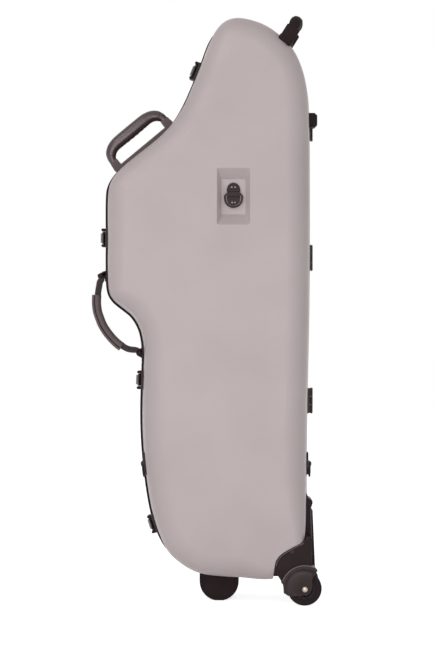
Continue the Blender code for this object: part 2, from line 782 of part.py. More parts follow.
def latch_bail(name, place, finish):
    """The bail: two legs from the lever across the seam to a bar over the keeper."""
    near, out = BAIL_PIVOT
    half = LATCH_EAR_OUTER + GAP + LEVER_CHEEK + GAP
    top = BAIL_LEG_UNDER + BAIL_THICKNESS
    outline = arc(BAIL_PIVOT, BAIL_EYE_RADIUS, -math.pi / 2, math.pi / 2, SMALL_SIDES // 2)
    outline.append((near - BAIL_EYE_RADIUS, top))
    outline.append((BAIL_BAR_NEAR, top))
    outline.append((BAIL_BAR_FAR, top - BAIL_THICKNESS / 2))
    outline.append((BAIL_BAR_FAR, BAIL_BAR_UNDER))
    outline.append((BAIL_BAR_NEAR, BAIL_BAR_UNDER))
    outline.append((BAIL_BAR_NEAR + BAIL_THICKNESS, BAIL_LEG_UNDER))
    outline.append((near - BAIL_EYE_RADIUS, BAIL_LEG_UNDER))
    bail = prism(name, outline, -half - BAIL_LEG, half + BAIL_LEG, place, finish)
    cut(bail, block(name + "_window", (BAIL_BAR_NEAR, -OVERRUN, -half),
                    (near + OVERRUN, out + OVERRUN, half), place, finish))
    reach = half + BAIL_LEG + OVERRUN
    cut(bail, rod(name + "_bore", BAIL_PIVOT, LATCH_BORE_RADIUS, -reach, reach, place, finish))
    set_origin(bail, place @ Vector((near, out, 0)))
    return bail


def latch_keeper(name, place, form, finish):
    """The plate on the lid with the ridge under the bail's bar."""
    half = KEEPER_LENGTH / 2
    ridge = KEEPER_RIDGE_LENGTH / 2
    keeper = block(name, (KEEPER_FAR, -OVERRUN, -half), (KEEPER_NEAR, KEEPER_TOP, half), place, finish)
    cut(keeper, form)
    add(keeper, block(name + "_ridge", (KEEPER_RIDGE_FAR, KEEPER_TOP / 2, -ridge),
                      (KEEPER_RIDGE_NEAR, KEEPER_RIDGE_TOP, ridge), place, finish))
    return keeper


def strap_plate(name, place, seat, finish, form=None):
    """A round-ended plate with a saddle that holds the ring's bar. Third direction: the bar."""
    half = STRAP_PLATE_WIDTH / 2
    straight = STRAP_PLATE_HEIGHT / 2 - half
    outline = arc((0, straight), half, 0, math.pi, SMALL_SIDES // 2)
    outline += arc((0, -straight), half, math.pi, 2 * math.pi, SMALL_SIDES // 2)
    flat = place @ Matrix(((0, 1, 0, 0), (0, 0, 1, 0), (1, 0, 0, 0), (0, 0, 0, 1)))
    plate = prism(name, outline, seat, STRAP_PLATE_TOP, flat, finish)
    if form:
        cut(plate, form)
    soft = SADDLE_TOP / 4
    rise = SADDLE_HEIGHT / 2
    saddle = [(-rise, STRAP_PLATE_TOP / 2), (-rise, SADDLE_TOP - soft), (soft - rise, SADDLE_TOP),
              (rise - soft, SADDLE_TOP), (rise, SADDLE_TOP - soft), (rise, STRAP_PLATE_TOP / 2)]
    add(plate, prism(name + "_saddle", saddle, -SADDLE_WIDTH / 2, SADDLE_WIDTH / 2, place, finish))
    cut(plate, rod(name + "_bore", (0, RING_AXIS_OUT), RING_BORE_RADIUS, -OVERRUN - SADDLE_WIDTH,
                   OVERRUN + SADDLE_WIDTH, place, finish))
    return plate


def strap_ring(name, place, finish):
    """The D-ring: a straight bar in the saddle and a round bow that hangs down."""
    corner = RING_HALF_WIDTH - RING_CORNER
    points = [(0, -corner), (0, 0), (0, corner), (-RING_CORNER, RING_HALF_WIDTH)]
    for index in range(RING_BOW_STEPS + 1):
        turn = math.pi * index / RING_BOW_STEPS
        points.append((-RING_DROP - RING_HALF_WIDTH * math.sin(turn), RING_HALF_WIDTH * math.cos(turn)))
    points.append((-RING_CORNER, -RING_HALF_WIDTH))
    path = [place @ Vector((up, RING_AXIS_OUT, along)) for up, along in points]
    side = (place.to_3x3() @ Vector((0, 1, 0))).normalized()
    section = circle((0, 0), RING_WIRE_RADIUS, PIN_SIDES)
    ring = swept(name, path, section, side, finish, closed=True)
    set_origin(ring, place @ Vector((0, RING_AXIS_OUT, 0)))
    return ring


def handle_frame(name, place, length, form, finish):
    """The moulded base of a handle: a plate with a socket at each end."""
    half = length / 2
    flank = HANDLE_WIDTH / 2
    inner = half - HANDLE_SOCKET_LENGTH
    right = [(inner - HANDLE_FILLET, HANDLE_PLATE), (inner, HANDLE_FILLET + HANDLE_PLATE),
             (inner, HANDLE_SOCKET_HEIGHT), (half - HANDLE_SOCKET_LEAN, HANDLE_SOCKET_HEIGHT),
             (half, HANDLE_BULGE), (half - HANDLE_FOOT, -HANDLE_ROOT)]
    left = [(-a, b) for a, b in reversed(right)]
    made = prism(name, left + right, -flank, flank, place, finish)
    cut(made, form)
    return made


def handle_grip(name, place, length, rise, finish):
    """The round grip that swells from its sockets to the middle of its arch."""
    half = length / 2
    rows = [(across * half, up * rise, size) for across, up, size in GRIP_SHARES]
    end, _, thin = rows[0]
    rows = [(end, HANDLE_SOCKET_HEIGHT + GAP, thin)] + rows
    rows += [(-across, up, size) for across, up, size in reversed(rows[:-1])]
    path = [place @ Vector((across, up, 0)) for across, up, _ in rows]
    side = (place.to_3x3() @ Vector((0, 0, 1))).normalized()
    sizes = [size for _, _, size in rows]
    return swept(name, path, circle((0, 0), GRIP_RADIUS, GRIP_SIDES), side, finish, sizes=sizes)


def wall_spot(height, side, depth):
    """A point on the near shell's drafted wall, and the wall's outward direction there."""
    place, out = edge_at(height, side)
    inset = math.tan(DRAFT) * depth
    return spot(place.x - out.x * inset, depth, place.y - out.y * inset), out


def grab_handle_frame():
    """The grab handle lies along the sloping shoulder."""
    origin, normal = wall_spot(height_at(GRAB_HANDLE_HEIGHT_SHARE), -1, GRAB_HANDLE_DEPTH)
    turn = math.atan2(normal.y, normal.x) + GRAB_HANDLE_TILT
    out = Vector((math.cos(turn), 0, math.sin(turn)))
    return frame((out.z, 0, -out.x), out, (0, -1, 0), origin)


def pull_handle_frame():
    """The pull handle lies across the case on the round of its top."""
    origin, normal = wall_spot(height_at(PULL_HANDLE_HEIGHT_SHARE), 1, PULL_HANDLE_DEPTH)
    turn = math.atan2(normal.y, normal.x) + PULL_HANDLE_TILT
    out = Vector((math.cos(turn), 0, math.sin(turn)))
    tilt = Matrix.Rotation(DRAFT, 3, Vector((out.z, 0, -out.x)))
    along = tilt @ Vector((0, -1, 0))
    raised = tilt @ out
    return frame(along, raised, along.cross(raised), origin)


def carry_axis():
    """The line through both mounts of the carry handle."""
    ends = []
    for share, reach in zip(CARRY_HEIGHT_SHARES, (CARRY_TOP_REACH, CARRY_LOW_REACH)):
        wall, _ = edge_at(height_at(share), -1)
        ends.append(spot(wall.x - reach, CARRY_DEPTH, wall.y))
    top, low = ends
    return top, low, (low - top).normalized()


def carry_mount(name, centre, along, form, finish):
    """A plate on the edge of the near shell with a lug that the strap's end turns on."""
    place, out = edge_at(centre.z, -1)
    wall = frame((out.x, 0, out.y), (-out.y, 0, out.x), (0, -1, 0), (place.x, SEAM_Y, place.y))
    half = CARRY_PLATE_LENGTH / 2
    plate = block(name, (-OVERRUN, -half, CARRY_PLATE_DEPTHS[0]),
                  (CARRY_PLATE_TOP, half, CARRY_PLATE_DEPTHS[1]), wall, finish)
    side = Vector((0, -1, 0))
    inward = side.cross(along)
    lug = frame(inward, side, along, centre)
    neck = (CARRY_NECK_REACH, CARRY_NECK_WIDTH / 2, CARRY_NECK_LENGTH / 2)
    add(plate, block(name + "_neck", (0, -neck[1], -neck[2]), neck, lug, finish))
    rings = []
    half = CARRY_BOSS_LENGTH / 2
    flat = CARRY_BOSS_STRAIGHT / 2
    for radius, level in ((CARRY_BOSS_END_RADIUS, -half), (CARRY_BOSS_RADIUS, -flat),
                          (CARRY_BOSS_RADIUS, flat), (CARRY_BOSS_END_RADIUS, half)):
        rings.append([lug @ Vector((a, b, level)) for a, b in circle((0, 0), radius, SMALL_SIDES)])
    add(plate, bridge_rings(name + "_boss", rings, finish))
    cut(plate, form)
    return plate


def carry_path():
    """The strap's route from the upper lug to the lower one."""
    top, low, along = carry_axis()
    span = low - top
    route = [(top.x + across * abs(span.x), top.z + down * span.z) for across, down in CARRY_ROUTE_SHARES]
    curve = smooth_through(route, CARRY_STEPS, closed=False)
    clear = CARRY_BOSS_LENGTH / 2 + GAP
    return [top + along * clear] + [spot(x, CARRY_DEPTH, z) for x, z in curve] + [low - along * clear]


def wheel_frame(depth):
    """A wheel's frame: its axle runs towards the viewer."""
    x, z = WHEEL_PLACE
    return frame((1, 0, 0), (0, 0, 1), (0, -1, 0), spot(x, depth, z))


def tyre(name, place, finish):
    half = WHEEL_WIDTH / 2
    crown = TYRE_CROWN
    profile = [(TYRE_BORE, -half), (WHEEL_RADIUS - crown, -half), (WHEEL_RADIUS, crown - half),
               (WHEEL_RADIUS, half - crown), (WHEEL_RADIUS - crown, half), (TYRE_BORE, half)]
    made = turned(name, profile, place, finish, TYRE_SIDES)
    set_origin(made, place.translation.copy())
    return made


def hub(name, place, finish):
    half = WHEEL_WIDTH / 2 + HUB_SIDE
    rim = TYRE_BORE - GAP
    web = HUB_WEB / 2
    profile = [(AXLE_BORE, -half), (HUB_BOSS, -half), (HUB_BOSS, -web), (HUB_RIM, -web),
               (HUB_RIM, HUB_SIDE - half), (rim, HUB_SIDE - half), (rim, half - HUB_SIDE),
               (HUB_RIM, half - HUB_SIDE), (HUB_RIM, web), (HUB_BOSS, web), (HUB_BOSS, half),
               (AXLE_BORE, half)]
    made = turned(name, profile, place, finish, ROUND_SIDES)
    set_origin(made, place.translation.copy())
    return made


def fender(name, depth, outward, finish):
    """A cheek that holds the axle and an arched guard over one wheel."""
    place = wheel_frame(depth)
    face = outward * (WHEEL_WIDTH / 2 + FENDER_CLEAR)
    outer = face + outward * FENDER_CHEEK
    inner = outer - outward * FENDER_REACH
    guard = arc((0, 0), FENDER_RADIUS, FENDER_START, FENDER_END, FENDER_STEPS)
    cheek = guard + [SPUR_TIP]
    cheek += [(across * FENDER_RADIUS, up * FENDER_RADIUS) for across, up in CHEEK_SHARES]
    made = prism(name, cheek, face, outer, place, finish)
    band = guard + [SPUR_TIP, (SPUR_TIP[0] - SPUR_THICKNESS, SPUR_TIP[1] - SPUR_THICKNESS)]
    band += arc((0, 0), FENDER_RADIUS - FENDER_THICKNESS, FENDER_END, FENDER_START, FENDER_STEPS)
    add(made, prism(name + "_guard", band, inner, outer - outward * FENDER_CHEEK / 2, place, finish))
    cut(made, rod(name + "_bore", (0, 0), AXLE_BORE, -OVERRUN - FENDER_REACH,
                  OVERRUN + FENDER_REACH, place, finish))
    return made


def wheel_bracket(form, finish):
    """The moulded corner that carries both wheels, with its arm up the right wall."""
    centre = WHEEL_PLACE
    radius = FENDER_RADIUS + GAP
    end = math.acos((BRACKET_RIGHT - centre[0]) / radius)
    edge = notch_edge(GAP)
    outline = [(BRACKET_FOOT, edge[0][1])] + arc(centre, radius, FENDER_START, end, FENDER_STEPS)
    outline += [(BRACKET_RIGHT, edge[-1][1])] + list(reversed(edge))
    made = prism("wheel_bracket", outline, BRACKET_DEPTHS[0], BRACKET_DEPTHS[1], DEPTH_FRAME, finish)
    arm_points = [(ARM_PLACE[0] + across * ARM_WIDTH, ARM_PLACE[1] + up * ARM_HEIGHT)
                  for across, up in ARM_SHARES]
    arm = prism("wheel_bracket_arm", arm_points, ARM_DEPTHS[0], ARM_DEPTHS[1], DEPTH_FRAME, finish)
    cut(arm, form)
    add(made, arm)
    for name, depth in (("rear", WHEEL_DEPTHS[0]), ("front", WHEEL_DEPTHS[1])):
        cut(made, rod(f"wheel_bracket_{name}_clearance", centre, radius, depth - FENDER_REACH,
                      depth + FENDER_REACH, DEPTH_FRAME, finish, TYRE_SIDES))
    return made


def axle(finish):
    """The steel axle through both wheels, with a head outside each cheek."""
    place = wheel_frame(0)
    far = WHEEL_DEPTHS[0] - WHEEL_WIDTH / 2 - FENDER_CLEAR - FENDER_CHEEK - GAP
    near = WHEEL_DEPTHS[1] + WHEEL_WIDTH / 2 + FENDER_CLEAR + FENDER_CHEEK + GAP
    soft = AXLE_HEAD / 2
    rings = []
    for radius, along in ((AXLE_HEAD_RADIUS - soft, far - AXLE_HEAD), (AXLE_HEAD_RADIUS, far - soft),
                          (AXLE_HEAD_RADIUS, far), (AXLE_RADIUS, far), (AXLE_RADIUS, near),
                          (AXLE_HEAD_RADIUS, near), (AXLE_HEAD_RADIUS, near + soft),
                          (AXLE_HEAD_RADIUS - soft, near + AXLE_HEAD)):
        rings.append([place @ Vector((a, b, along)) for a, b in circle((0, 0), radius, ROUND_SIDES)])
    return bridge_rings("wheel_axle", rings, finish)


def foot(form, finish):
    """The half-round rubber foot, flat where it stands, with a dished near face."""
    half = FOOT_FLAT / 2
    middle = SHELL_LEFT + SHELL_WIDTH * FOOT_ACROSS_SHARE
    centre = (middle, math.sqrt(FOOT_RADIUS ** 2 - half ** 2))
    start = math.asin(half / FOOT_RADIUS) - math.pi / 2
    top = (middle + FOOT_RADIUS, SHELL_BOTTOM + OVERRUN)
    outline = arc(centre, FOOT_RADIUS, start, 0, FOOT_STEPS // 2) + [top]
    outline += [(middle - FOOT_RADIUS, top[1])]
    outline += arc(centre, FOOT_RADIUS, -math.pi, -math.pi - start, FOOT_STEPS // 2)
    made = prism("rubber_foot", outline, FOOT_DEPTHS[0], FOOT_DEPTHS[1], DEPTH_FRAME, finish)
    inner = arc(centre, FOOT_RADIUS - FOOT_RIM, -math.pi, 0, FOOT_STEPS)
    inner += [(middle + FOOT_RADIUS - FOOT_RIM, top[1]), (middle - FOOT_RADIUS + FOOT_RIM, top[1])]
    cut(made, prism("rubber_foot_dish", inner, FOOT_DEPTHS[1] - FOOT_DISH, FOOT_DEPTHS[1] + OVERRUN,
                    DEPTH_FRAME, finish))
    cut(made, form)
    return made


def carry_strap_and_sleeve(finish, sleeve_finish):
    """The carry handle: a strap between the lugs and a soft sleeve round its middle."""
    path = carry_path()
    side = Vector((0, -1, 0))
    top, _, along = carry_axis()
    sizes = [CARRY_END_SHARE] + [1] * (len(path) - 2) + [CARRY_END_SHARE]
    strap = swept("carry_strap", path, rounded_section(CARRY_STRAP_THICKNESS, CARRY_STRAP_WIDTH),
                  side, finish, sizes=sizes, ends=along)
    first = 1 + CARRY_SLEEVE_FIRST * CARRY_STEPS
    last = 1 + CARRY_SLEEVE_LAST * CARRY_STEPS
    sleeve = swept("carry_sleeve", path[first:last + 1],
                   rounded_section(CARRY_SLEEVE_THICKNESS, CARRY_SLEEVE_WIDTH, CARRY_SLEEVE_OFFSET),
                   side, sleeve_finish)
    bore = swept("carry_sleeve_bore", path,
                 rounded_section(CARRY_STRAP_THICKNESS + 2 * GAP, CARRY_STRAP_WIDTH + 2 * GAP),
                 side, sleeve_finish, ends=along)
    cut(sleeve, bore)
    set_origin(strap, top)
    set_origin(sleeve, top)


def bracket_screw(finish):
    """The screw that holds the wheel bracket to the shell."""
    low = BRACKET_DEPTHS[1] + GAP
    return rod("bracket_screw", BRACKET_SCREW_PLACE, BRACKET_SCREW_RADIUS, low,
               low + BRACKET_SCREW_HEAD, DEPTH_FRAME, finish)


def build_shells(finishes):
    """Both shells, their linings, the seal and the foam inside."""
    base, hollow = half_shell("base_shell", 1, BASE_RIM, BASE_DEPTH, finishes["shell"])
    lid, _ = half_shell("lid_shell", -1, LID_RIM, LID_DEPTH, finishes["lid"])
    seal = seam_seal(finishes["rubber"])
    cut(seal, hollow)
    notch = notch_form("wheel_notch", 0, finishes["shell"])
    for piece in (base, lid, seal):
        cut(piece, notch)
    cut(hollow, recess_form("recess_backing", WALL, finishes["shell"]))
    cut(base, recess_form("recess", 0, finishes["shell"]))
    base_lining, bay = half_lining("base_lining", 1, BASE_RIM, BASE_DEPTH, finishes["foam"])
    padding = WALL + LINING_CLEAR + LINING
    cut(bay, recess_form("recess_padding", padding, finishes["foam"]))
    cut(base_lining, recess_form("recess_clearance", WALL + LINING_CLEAR, finishes["foam"]))
    half_lining("lid_lining", -1, LID_RIM, LID_DEPTH, finishes["foam"])
    cradle("body_cradle", BODY_CRADLE_SHARES, BODY_CRADLE_WIDTH_SHARE, BODY_CRADLE_BITE,
           finishes["foam"])
    cradle("bell_cradle", BELL_CRADLE_SHARES, BELL_CRADLE_WIDTH_SHARE, BELL_CRADLE_BITE,
           finishes["foam"])


def build_hinges(base_form, lid_form, finishes):
    for number, share in enumerate(HINGE_HEIGHT_SHARES, 1):
        height = height_at(share)
        hinge_leaf(f"hinge_{number}_base_leaf", height, 1, base_form, finishes["black_metal"])
        hinge_leaf(f"hinge_{number}_lid_leaf", height, -1, lid_form, finishes["black_metal"])
        hinge_pin(f"hinge_{number}_pin", height, finishes["steel"])
    bumper(base_form, finishes["plastic"])


def build_latches(base_form, lid_form, finishes):
    for number, share in enumerate(LATCH_HEIGHT_SHARES, 1):
        place = latch_frame(height_at(share))
        latch_plate(f"latch_{number}_plate", place, base_form, finishes["black_metal"])
        latch_lever(f"latch_{number}_lever", place, finishes["black_metal"])
        latch_bail(f"latch_{number}_bail", place, finishes["black_metal"])
        latch_keeper(f"latch_{number}_keeper", place, lid_form, finishes["black_metal"])


def build_strap_rings(base_form, finishes):
    """One plate and ring in the recess and one on each side wall."""
    x, z = on_shell(*RECESS_SHARES)
    floor = BASE_DEPTH - RECESS_DEPTH
    front = frame((0, 0, 1), (0, -1, 0), (1, 0, 0), spot(x, floor, z + SADDLE_HEIGHT / 2))
    strap_plate("recess_strap_plate", front, GAP, finishes["black_metal"])
    strap_ring("recess_strap_ring", front, finishes["black_metal"])
    for name, side in (("left", -1), ("right", 1)):
        wall, out = edge_at(height_at(SIDE_RING_HEIGHT_SHARE), side)
        inset = math.tan(DRAFT) * (SIDE_RING_DEPTH - STRAP_PLATE_WIDTH / 2)
        up = (-out.y * side, 0, out.x * side)
        origin = spot(wall.x - out.x * inset, SIDE_RING_DEPTH, wall.y - out.y * inset)
        place = frame(up, (out.x, 0, out.y), (0, -1, 0), origin)
        strap_plate(f"{name}_strap_plate", place, -OVERRUN, finishes["black_metal"], base_form)
        strap_ring(f"{name}_strap_ring", place, finishes["black_metal"])


def build_handles(base_form, finishes):
    for name, place, length, rise in (
            ("grab_handle", grab_handle_frame(), GRAB_HANDLE_LENGTH, GRAB_HANDLE_RISE),
            ("pull_handle", pull_handle_frame(), PULL_HANDLE_LENGTH, PULL_HANDLE_RISE)):
        handle_frame(name + "_base", place, length, base_form, finishes["plastic"])
        handle_grip(name + "_grip", place, length, rise, finishes["rubber"])
    top, low, along = carry_axis()
    carry_mount("carry_mount_upper", top, along, base_form, finishes["plastic"])
    carry_mount("carry_mount_lower", low, along, base_form, finishes["plastic"])
    carry_strap_and_sleeve(finishes["strap"], finishes["rubber"])


def build_wheels(base_form, finishes):
    wheel_bracket(base_form, finishes["plastic"])
    bracket_screw(finishes["steel"])
    axle(finishes["steel"])
    for name, depth, outward in (("rear", WHEEL_DEPTHS[0], -1), ("front", WHEEL_DEPTHS[1], 1)):
        place = wheel_frame(depth)
        tyre(name + "_tyre", place, finishes["rubber"])
        hub(name + "_hub", place, finishes["plastic"])
        fender(name + "_fender", depth, outward, finishes["plastic"])
    foot(base_form, finishes["rubber"])


def hang_lid():
    """Everything on the lid turns about an empty on the hinge line."""
    axis = bpy.data.objects.new("lid_axis", None)
    axis.location = (HINGE_AXIS_X, SEAM_Y, height_at(HINGE_HEIGHT_SHARES[0]))
    bpy.context.scene.collection.objects.link(axis)
    for piece in list(bpy.data.objects):
        on_lid = piece.name.startswith("lid_") or "_lid_leaf" in piece.name or "_keeper" in piece.name
        if on_lid and piece is not axis and not piece.hide_render:
            piece.parent = axis
            piece.matrix_parent_inverse = Matrix.Translation(-axis.location)


def build():
    clear_scene()
    finishes = {
        "shell": material("shell_grey", (0.53, 0.46, 0.46), 0.42),
        "lid": material("lid_grey", (0.53, 0.46, 0.46), 0.42),
        "foam": material("lining_foam", (0.05, 0.05, 0.055), 0.95),
        "rubber": material("black_rubber", (0.022, 0.02, 0.022), 0.7),
        "plastic": material("black_plastic", (0.035, 0.03, 0.033), 0.5),
        "black_metal": material("black_metal", (0.03, 0.026, 0.028), 0.4, 0.6),
        "steel": material("bright_steel", (0.62, 0.58, 0.52), 0.3, 1.0),
        "strap": material("webbing", (0.05, 0.04, 0.045), 0.85),
    }
    build_shells(finishes)
    base_form = shell_form("base_form", OUTLINE, 1, (0, BASE_RIM), BASE_DEPTH, -GAP,
                           OUTER_ROUND_STEPS, finishes["shell"])
    cut(base_form, notch_form("wheel_notch_seat", GAP, finishes["shell"]))
    lid_form = shell_form("lid_form", OUTLINE, -1, (0, LID_RIM), LID_DEPTH, -GAP,
                          OUTER_ROUND_STEPS, finishes["lid"])
    build_hinges(base_form, lid_form, finishes)
    build_latches(base_form, lid_form, finishes)
    build_strap_rings(base_form, finishes)
    build_handles(base_form, finishes)
    build_wheels(base_form, finishes)
    hang_lid()


build()
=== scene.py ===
# %% [markdown]
# # A hard case for a baritone saxophone
#
# The case is two moulded shells that follow the outline of the instrument, hinged on the right
# and latched on the left. The imported solids are loaded as a fixed frame, so every piece below
# goes where the frame already says, in metres, with Z up and the near shell facing -Y.

# %% Load the frame
import math

import bmesh
import bpy
from mathutils import Matrix, Vector


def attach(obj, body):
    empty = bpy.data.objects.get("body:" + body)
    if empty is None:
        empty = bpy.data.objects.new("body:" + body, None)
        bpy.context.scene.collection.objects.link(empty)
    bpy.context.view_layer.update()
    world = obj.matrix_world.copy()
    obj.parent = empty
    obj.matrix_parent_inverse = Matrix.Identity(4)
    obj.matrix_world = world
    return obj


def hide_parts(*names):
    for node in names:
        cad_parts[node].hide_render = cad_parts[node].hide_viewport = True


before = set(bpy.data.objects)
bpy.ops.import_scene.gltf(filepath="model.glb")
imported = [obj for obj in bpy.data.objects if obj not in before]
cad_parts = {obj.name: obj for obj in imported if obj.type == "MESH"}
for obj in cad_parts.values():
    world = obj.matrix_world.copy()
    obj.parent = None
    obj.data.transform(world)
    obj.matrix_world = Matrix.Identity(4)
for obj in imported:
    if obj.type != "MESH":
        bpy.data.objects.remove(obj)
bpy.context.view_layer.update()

MM = 0.001

# %% [markdown]
# ## Camera
#
# The photograph looks straight at the front, from about the middle of the case's height. Two
# millimetres of the case cover one pixel at the seam, which fixes how far off the camera stands
# for its lens. A level camera with a long lens keeps the sides parallel, as they are in the
# photograph.

# %% Set up the camera
CAMERA_PLACE = (0.02375, -3.67, 0.54)
CAMERA_LENS = 102.46

camera_data = bpy.data.cameras.new("front_camera")
camera_data.sensor_width = 36
camera_data.lens = CAMERA_LENS
camera = bpy.data.objects.new("front_camera", camera_data)
camera.location = CAMERA_PLACE
camera.rotation_euler = (math.pi / 2, 0, 0)
bpy.context.scene.collection.objects.link(camera)
bpy.context.scene.camera = camera
print("camera", tuple(camera.location), "lens", camera_data.lens)

# %% [markdown]
# ## Light and floor
#
# A product picture of a pale case needs a broad soft lamp in front and above, so that both sides
# darken gently towards the edge, and an even sky for the rest. The floor keeps the shadow of the
# foot and the wheels. It and the sky are made to look white to the camera and to glossy rays
# only, so that the white of the picture adds no light to the case.


# %% Join values in a node tree
def combine(tree, operation, first, second):
    """A math node on two sockets, or on a socket and a number."""
    node = tree.nodes.new("ShaderNodeMath")
    node.operation = operation
    for value, place in zip((first, second), node.inputs):
        if isinstance(value, float):
            place.default_value = value
        else:
            tree.links.new(value, place)
    return node.outputs[0]


def ranged(tree, value, low, high, to_low=0.0, to_high=1.0):
    """Stretches one stretch of a value to another."""
    node = tree.nodes.new("ShaderNodeMapRange")
    labels = ("From Min", "From Max", "To Min", "To Max")
    for label, number in zip(labels, (low, high, to_low, to_high)):
        node.inputs[label].default_value = number
    tree.links.new(value, node.inputs["Value"])
    return node.outputs["Result"]


def see_white(tree):
    """One for a ray of the camera or a reflection, nought for the light on the case."""
    rays = tree.nodes.new("ShaderNodeLightPath").outputs
    shiny = combine(tree, "MAXIMUM", rays["Is Glossy Ray"], rays["Is Transmission Ray"])
    return combine(tree, "MAXIMUM", rays["Is Camera Ray"], shiny)


# %% Light the sky
SKY_LEVEL = 0.41

world = bpy.data.worlds.new("studio_sky")
world.use_nodes = True
bpy.context.scene.world = world
sky_tree = world.node_tree
sky = sky_tree.nodes["Background"].inputs
sky["Color"].default_value = (1, 1, 1, 1)
strength = ranged(sky_tree, see_white(sky_tree), 0.0, 1.0, SKY_LEVEL, 1.0)
sky_tree.links.new(strength, sky["Strength"])
print("sky level", SKY_LEVEL)

# %% Hang the lamps
LAMPS = (
    ("front_lamp", (-0.8, -3.4, 1.1), (0, 0, 0.45), 2.2, 29),
    ("edge_lamp", (-2.1, -2.7, 3.0), (0, 0, 0.6), 0.7, 15),
    ("low_lamp", (0.2, -2.6, 0.15), (0, 0, 0.04), 0.8, 8),
)


def soft_lamp(name, place, target, size, power):
    """A square area lamp that faces a point."""
    data = bpy.data.lights.new(name, "AREA")
    data.shape = "SQUARE"
    data.size = size
    data.energy = power
    lamp = bpy.data.objects.new(name, data)
    lamp.location = place
    facing = Vector(target) - Vector(place)
    lamp.rotation_euler = facing.to_track_quat("-Z", "Y").to_euler()
    bpy.context.scene.collection.objects.link(lamp)
    return lamp


for values in LAMPS:
    print("lamp", soft_lamp(*values).name, values[-1], "W")
bpy.context.scene.view_settings.view_transform = "Standard"

# %% Lay the floor
FLOOR_SIZE = 14.0
FLOOR_CENTRE = (0, 1.5, 0)
FLOOR_TONE = 0.93
FLOOR_GLOW = 0.8

bpy.ops.object.select_all(action="DESELECT")
bpy.ops.mesh.primitive_plane_add(size=FLOOR_SIZE, location=FLOOR_CENTRE)
floor = bpy.context.object
floor.name = "studio_floor"
floor_finish = bpy.data.materials.new("floor_paper")
floor_finish.use_nodes = True
floor_tree = floor_finish.node_tree
paper = floor_tree.nodes["Principled BSDF"].inputs
paper["Base Color"].default_value = (FLOOR_TONE, FLOOR_TONE, FLOOR_TONE, 1)
paper["Roughness"].default_value = 0.9
paper["Specular IOR Level"].default_value = 0.1
paper["Emission Color"].default_value = (1, 1, 1, 1)
glow = combine(floor_tree, "MULTIPLY", see_white(floor_tree), FLOOR_GLOW)
floor_tree.links.new(glow, paper["Emission Strength"])
floor.data.materials.append(floor_finish)
print("floor", floor.name, "glow", FLOOR_GLOW)

# %% [markdown]
# ## Helpers for modelling
#
# Most of this case is drawn through: the shells, the grips and the strap are all one ring of
# points carried from station to station. In Blender that is a circle that is extruded again and
# again, with its points set after each step, so one helper does it all. Smaller helpers take a
# piece in hand, cut one piece with another, soften sharp edges, and turn a profile into a round
# piece.


# %% Take a piece in hand
def deselect_all():
    if bpy.context.mode != "OBJECT":
        bpy.ops.object.mode_set(mode="OBJECT")
    bpy.ops.object.select_all(action="DESELECT")


def take(piece):
    """Makes a piece the only one selected, and the active one."""
    deselect_all()
    piece.select_set(True)
    bpy.context.view_layer.objects.active = piece
    return piece


def name_piece(name):
    piece = bpy.context.object
    piece.name = name
    piece.data.name = name
    return piece


# %% Draw a ring of points through its stations
def skin_through(name, rings, closed=False):
    """Extrudes a ring from station to station, capped at both ends or closed on itself."""
    deselect_all()
    bpy.ops.mesh.primitive_circle_add(vertices=len(rings[0]), radius=0.1, enter_editmode=True,
                                      fill_type="NOTHING" if closed else "NGON")
    piece = name_piece(name)
    bpy.ops.mesh.select_mode(type="VERT")
    for index, ring in enumerate(rings):
        if index:
            bpy.ops.mesh.extrude_region_move()
        shape = bmesh.from_edit_mesh(piece.data)
        if not index:
            station = shape.verts.layers.int.new("station")
            for vert in shape.verts:
                vert[station] = vert.index
        station = shape.verts.layers.int["station"]
        for vert in shape.verts:
            if vert.select:
                vert.co = ring[vert[station]]
        bmesh.update_edit_mesh(piece.data)
    shape = bmesh.from_edit_mesh(piece.data)
    shape.verts.layers.int.remove(shape.verts.layers.int["station"])
    bmesh.update_edit_mesh(piece.data)
    if closed:
        bpy.ops.mesh.select_all(action="DESELECT")
        bpy.ops.mesh.select_non_manifold()
        bpy.ops.mesh.bridge_edge_loops()
    bpy.ops.mesh.select_all(action="SELECT")
    bpy.ops.mesh.normals_make_consistent(inside=False)
    bpy.ops.object.mode_set(mode="OBJECT")
    return piece


# %% Follow a path, and turn a profile round an axis
def heading(path, index):
    """The direction of a path at one of its points."""
    return (path[min(index + 1, len(path) - 1)] - path[max(index - 1, 0)]).normalized()


def turn_profile(name, profile, place, steps):
    """Spins a closed profile of (radius, along) round the third axis of a placing matrix."""
    deselect_all()
    bpy.ops.mesh.primitive_circle_add(vertices=len(profile), radius=0.1, fill_type="NOTHING",
                                      enter_editmode=True)
    piece = name_piece(name)
    shape = bmesh.from_edit_mesh(piece.data)
    for vert, (radius, along) in zip(shape.verts, profile):
        vert.co = place @ Vector((radius, 0, along))
    bmesh.update_edit_mesh(piece.data)
    axis = (place.to_3x3() @ Vector((0, 0, 1))).normalized()
    bpy.ops.mesh.spin(steps=steps, angle=2 * math.pi, center=place.translation, axis=axis)
    bpy.ops.mesh.select_all(action="SELECT")
    bpy.ops.mesh.remove_doubles(threshold=0.01 * MM)
    bpy.ops.mesh.normals_make_consistent(inside=False)
    bpy.ops.object.mode_set(mode="OBJECT")
    return piece


# %% Cut, soften and copy
def apply_step(piece, step):
    take(piece)
    bpy.ops.object.modifier_apply(modifier=step.name)


def carve(piece, tool, operation="DIFFERENCE"):
    """Cuts a tool out of a piece, and puts the tool away."""
    step = piece.modifiers.new("carve", "BOOLEAN")
    step.solver = "EXACT"
    step.operation = operation
    step.object = tool
    apply_step(piece, step)
    bpy.data.objects.remove(tool)
    return piece


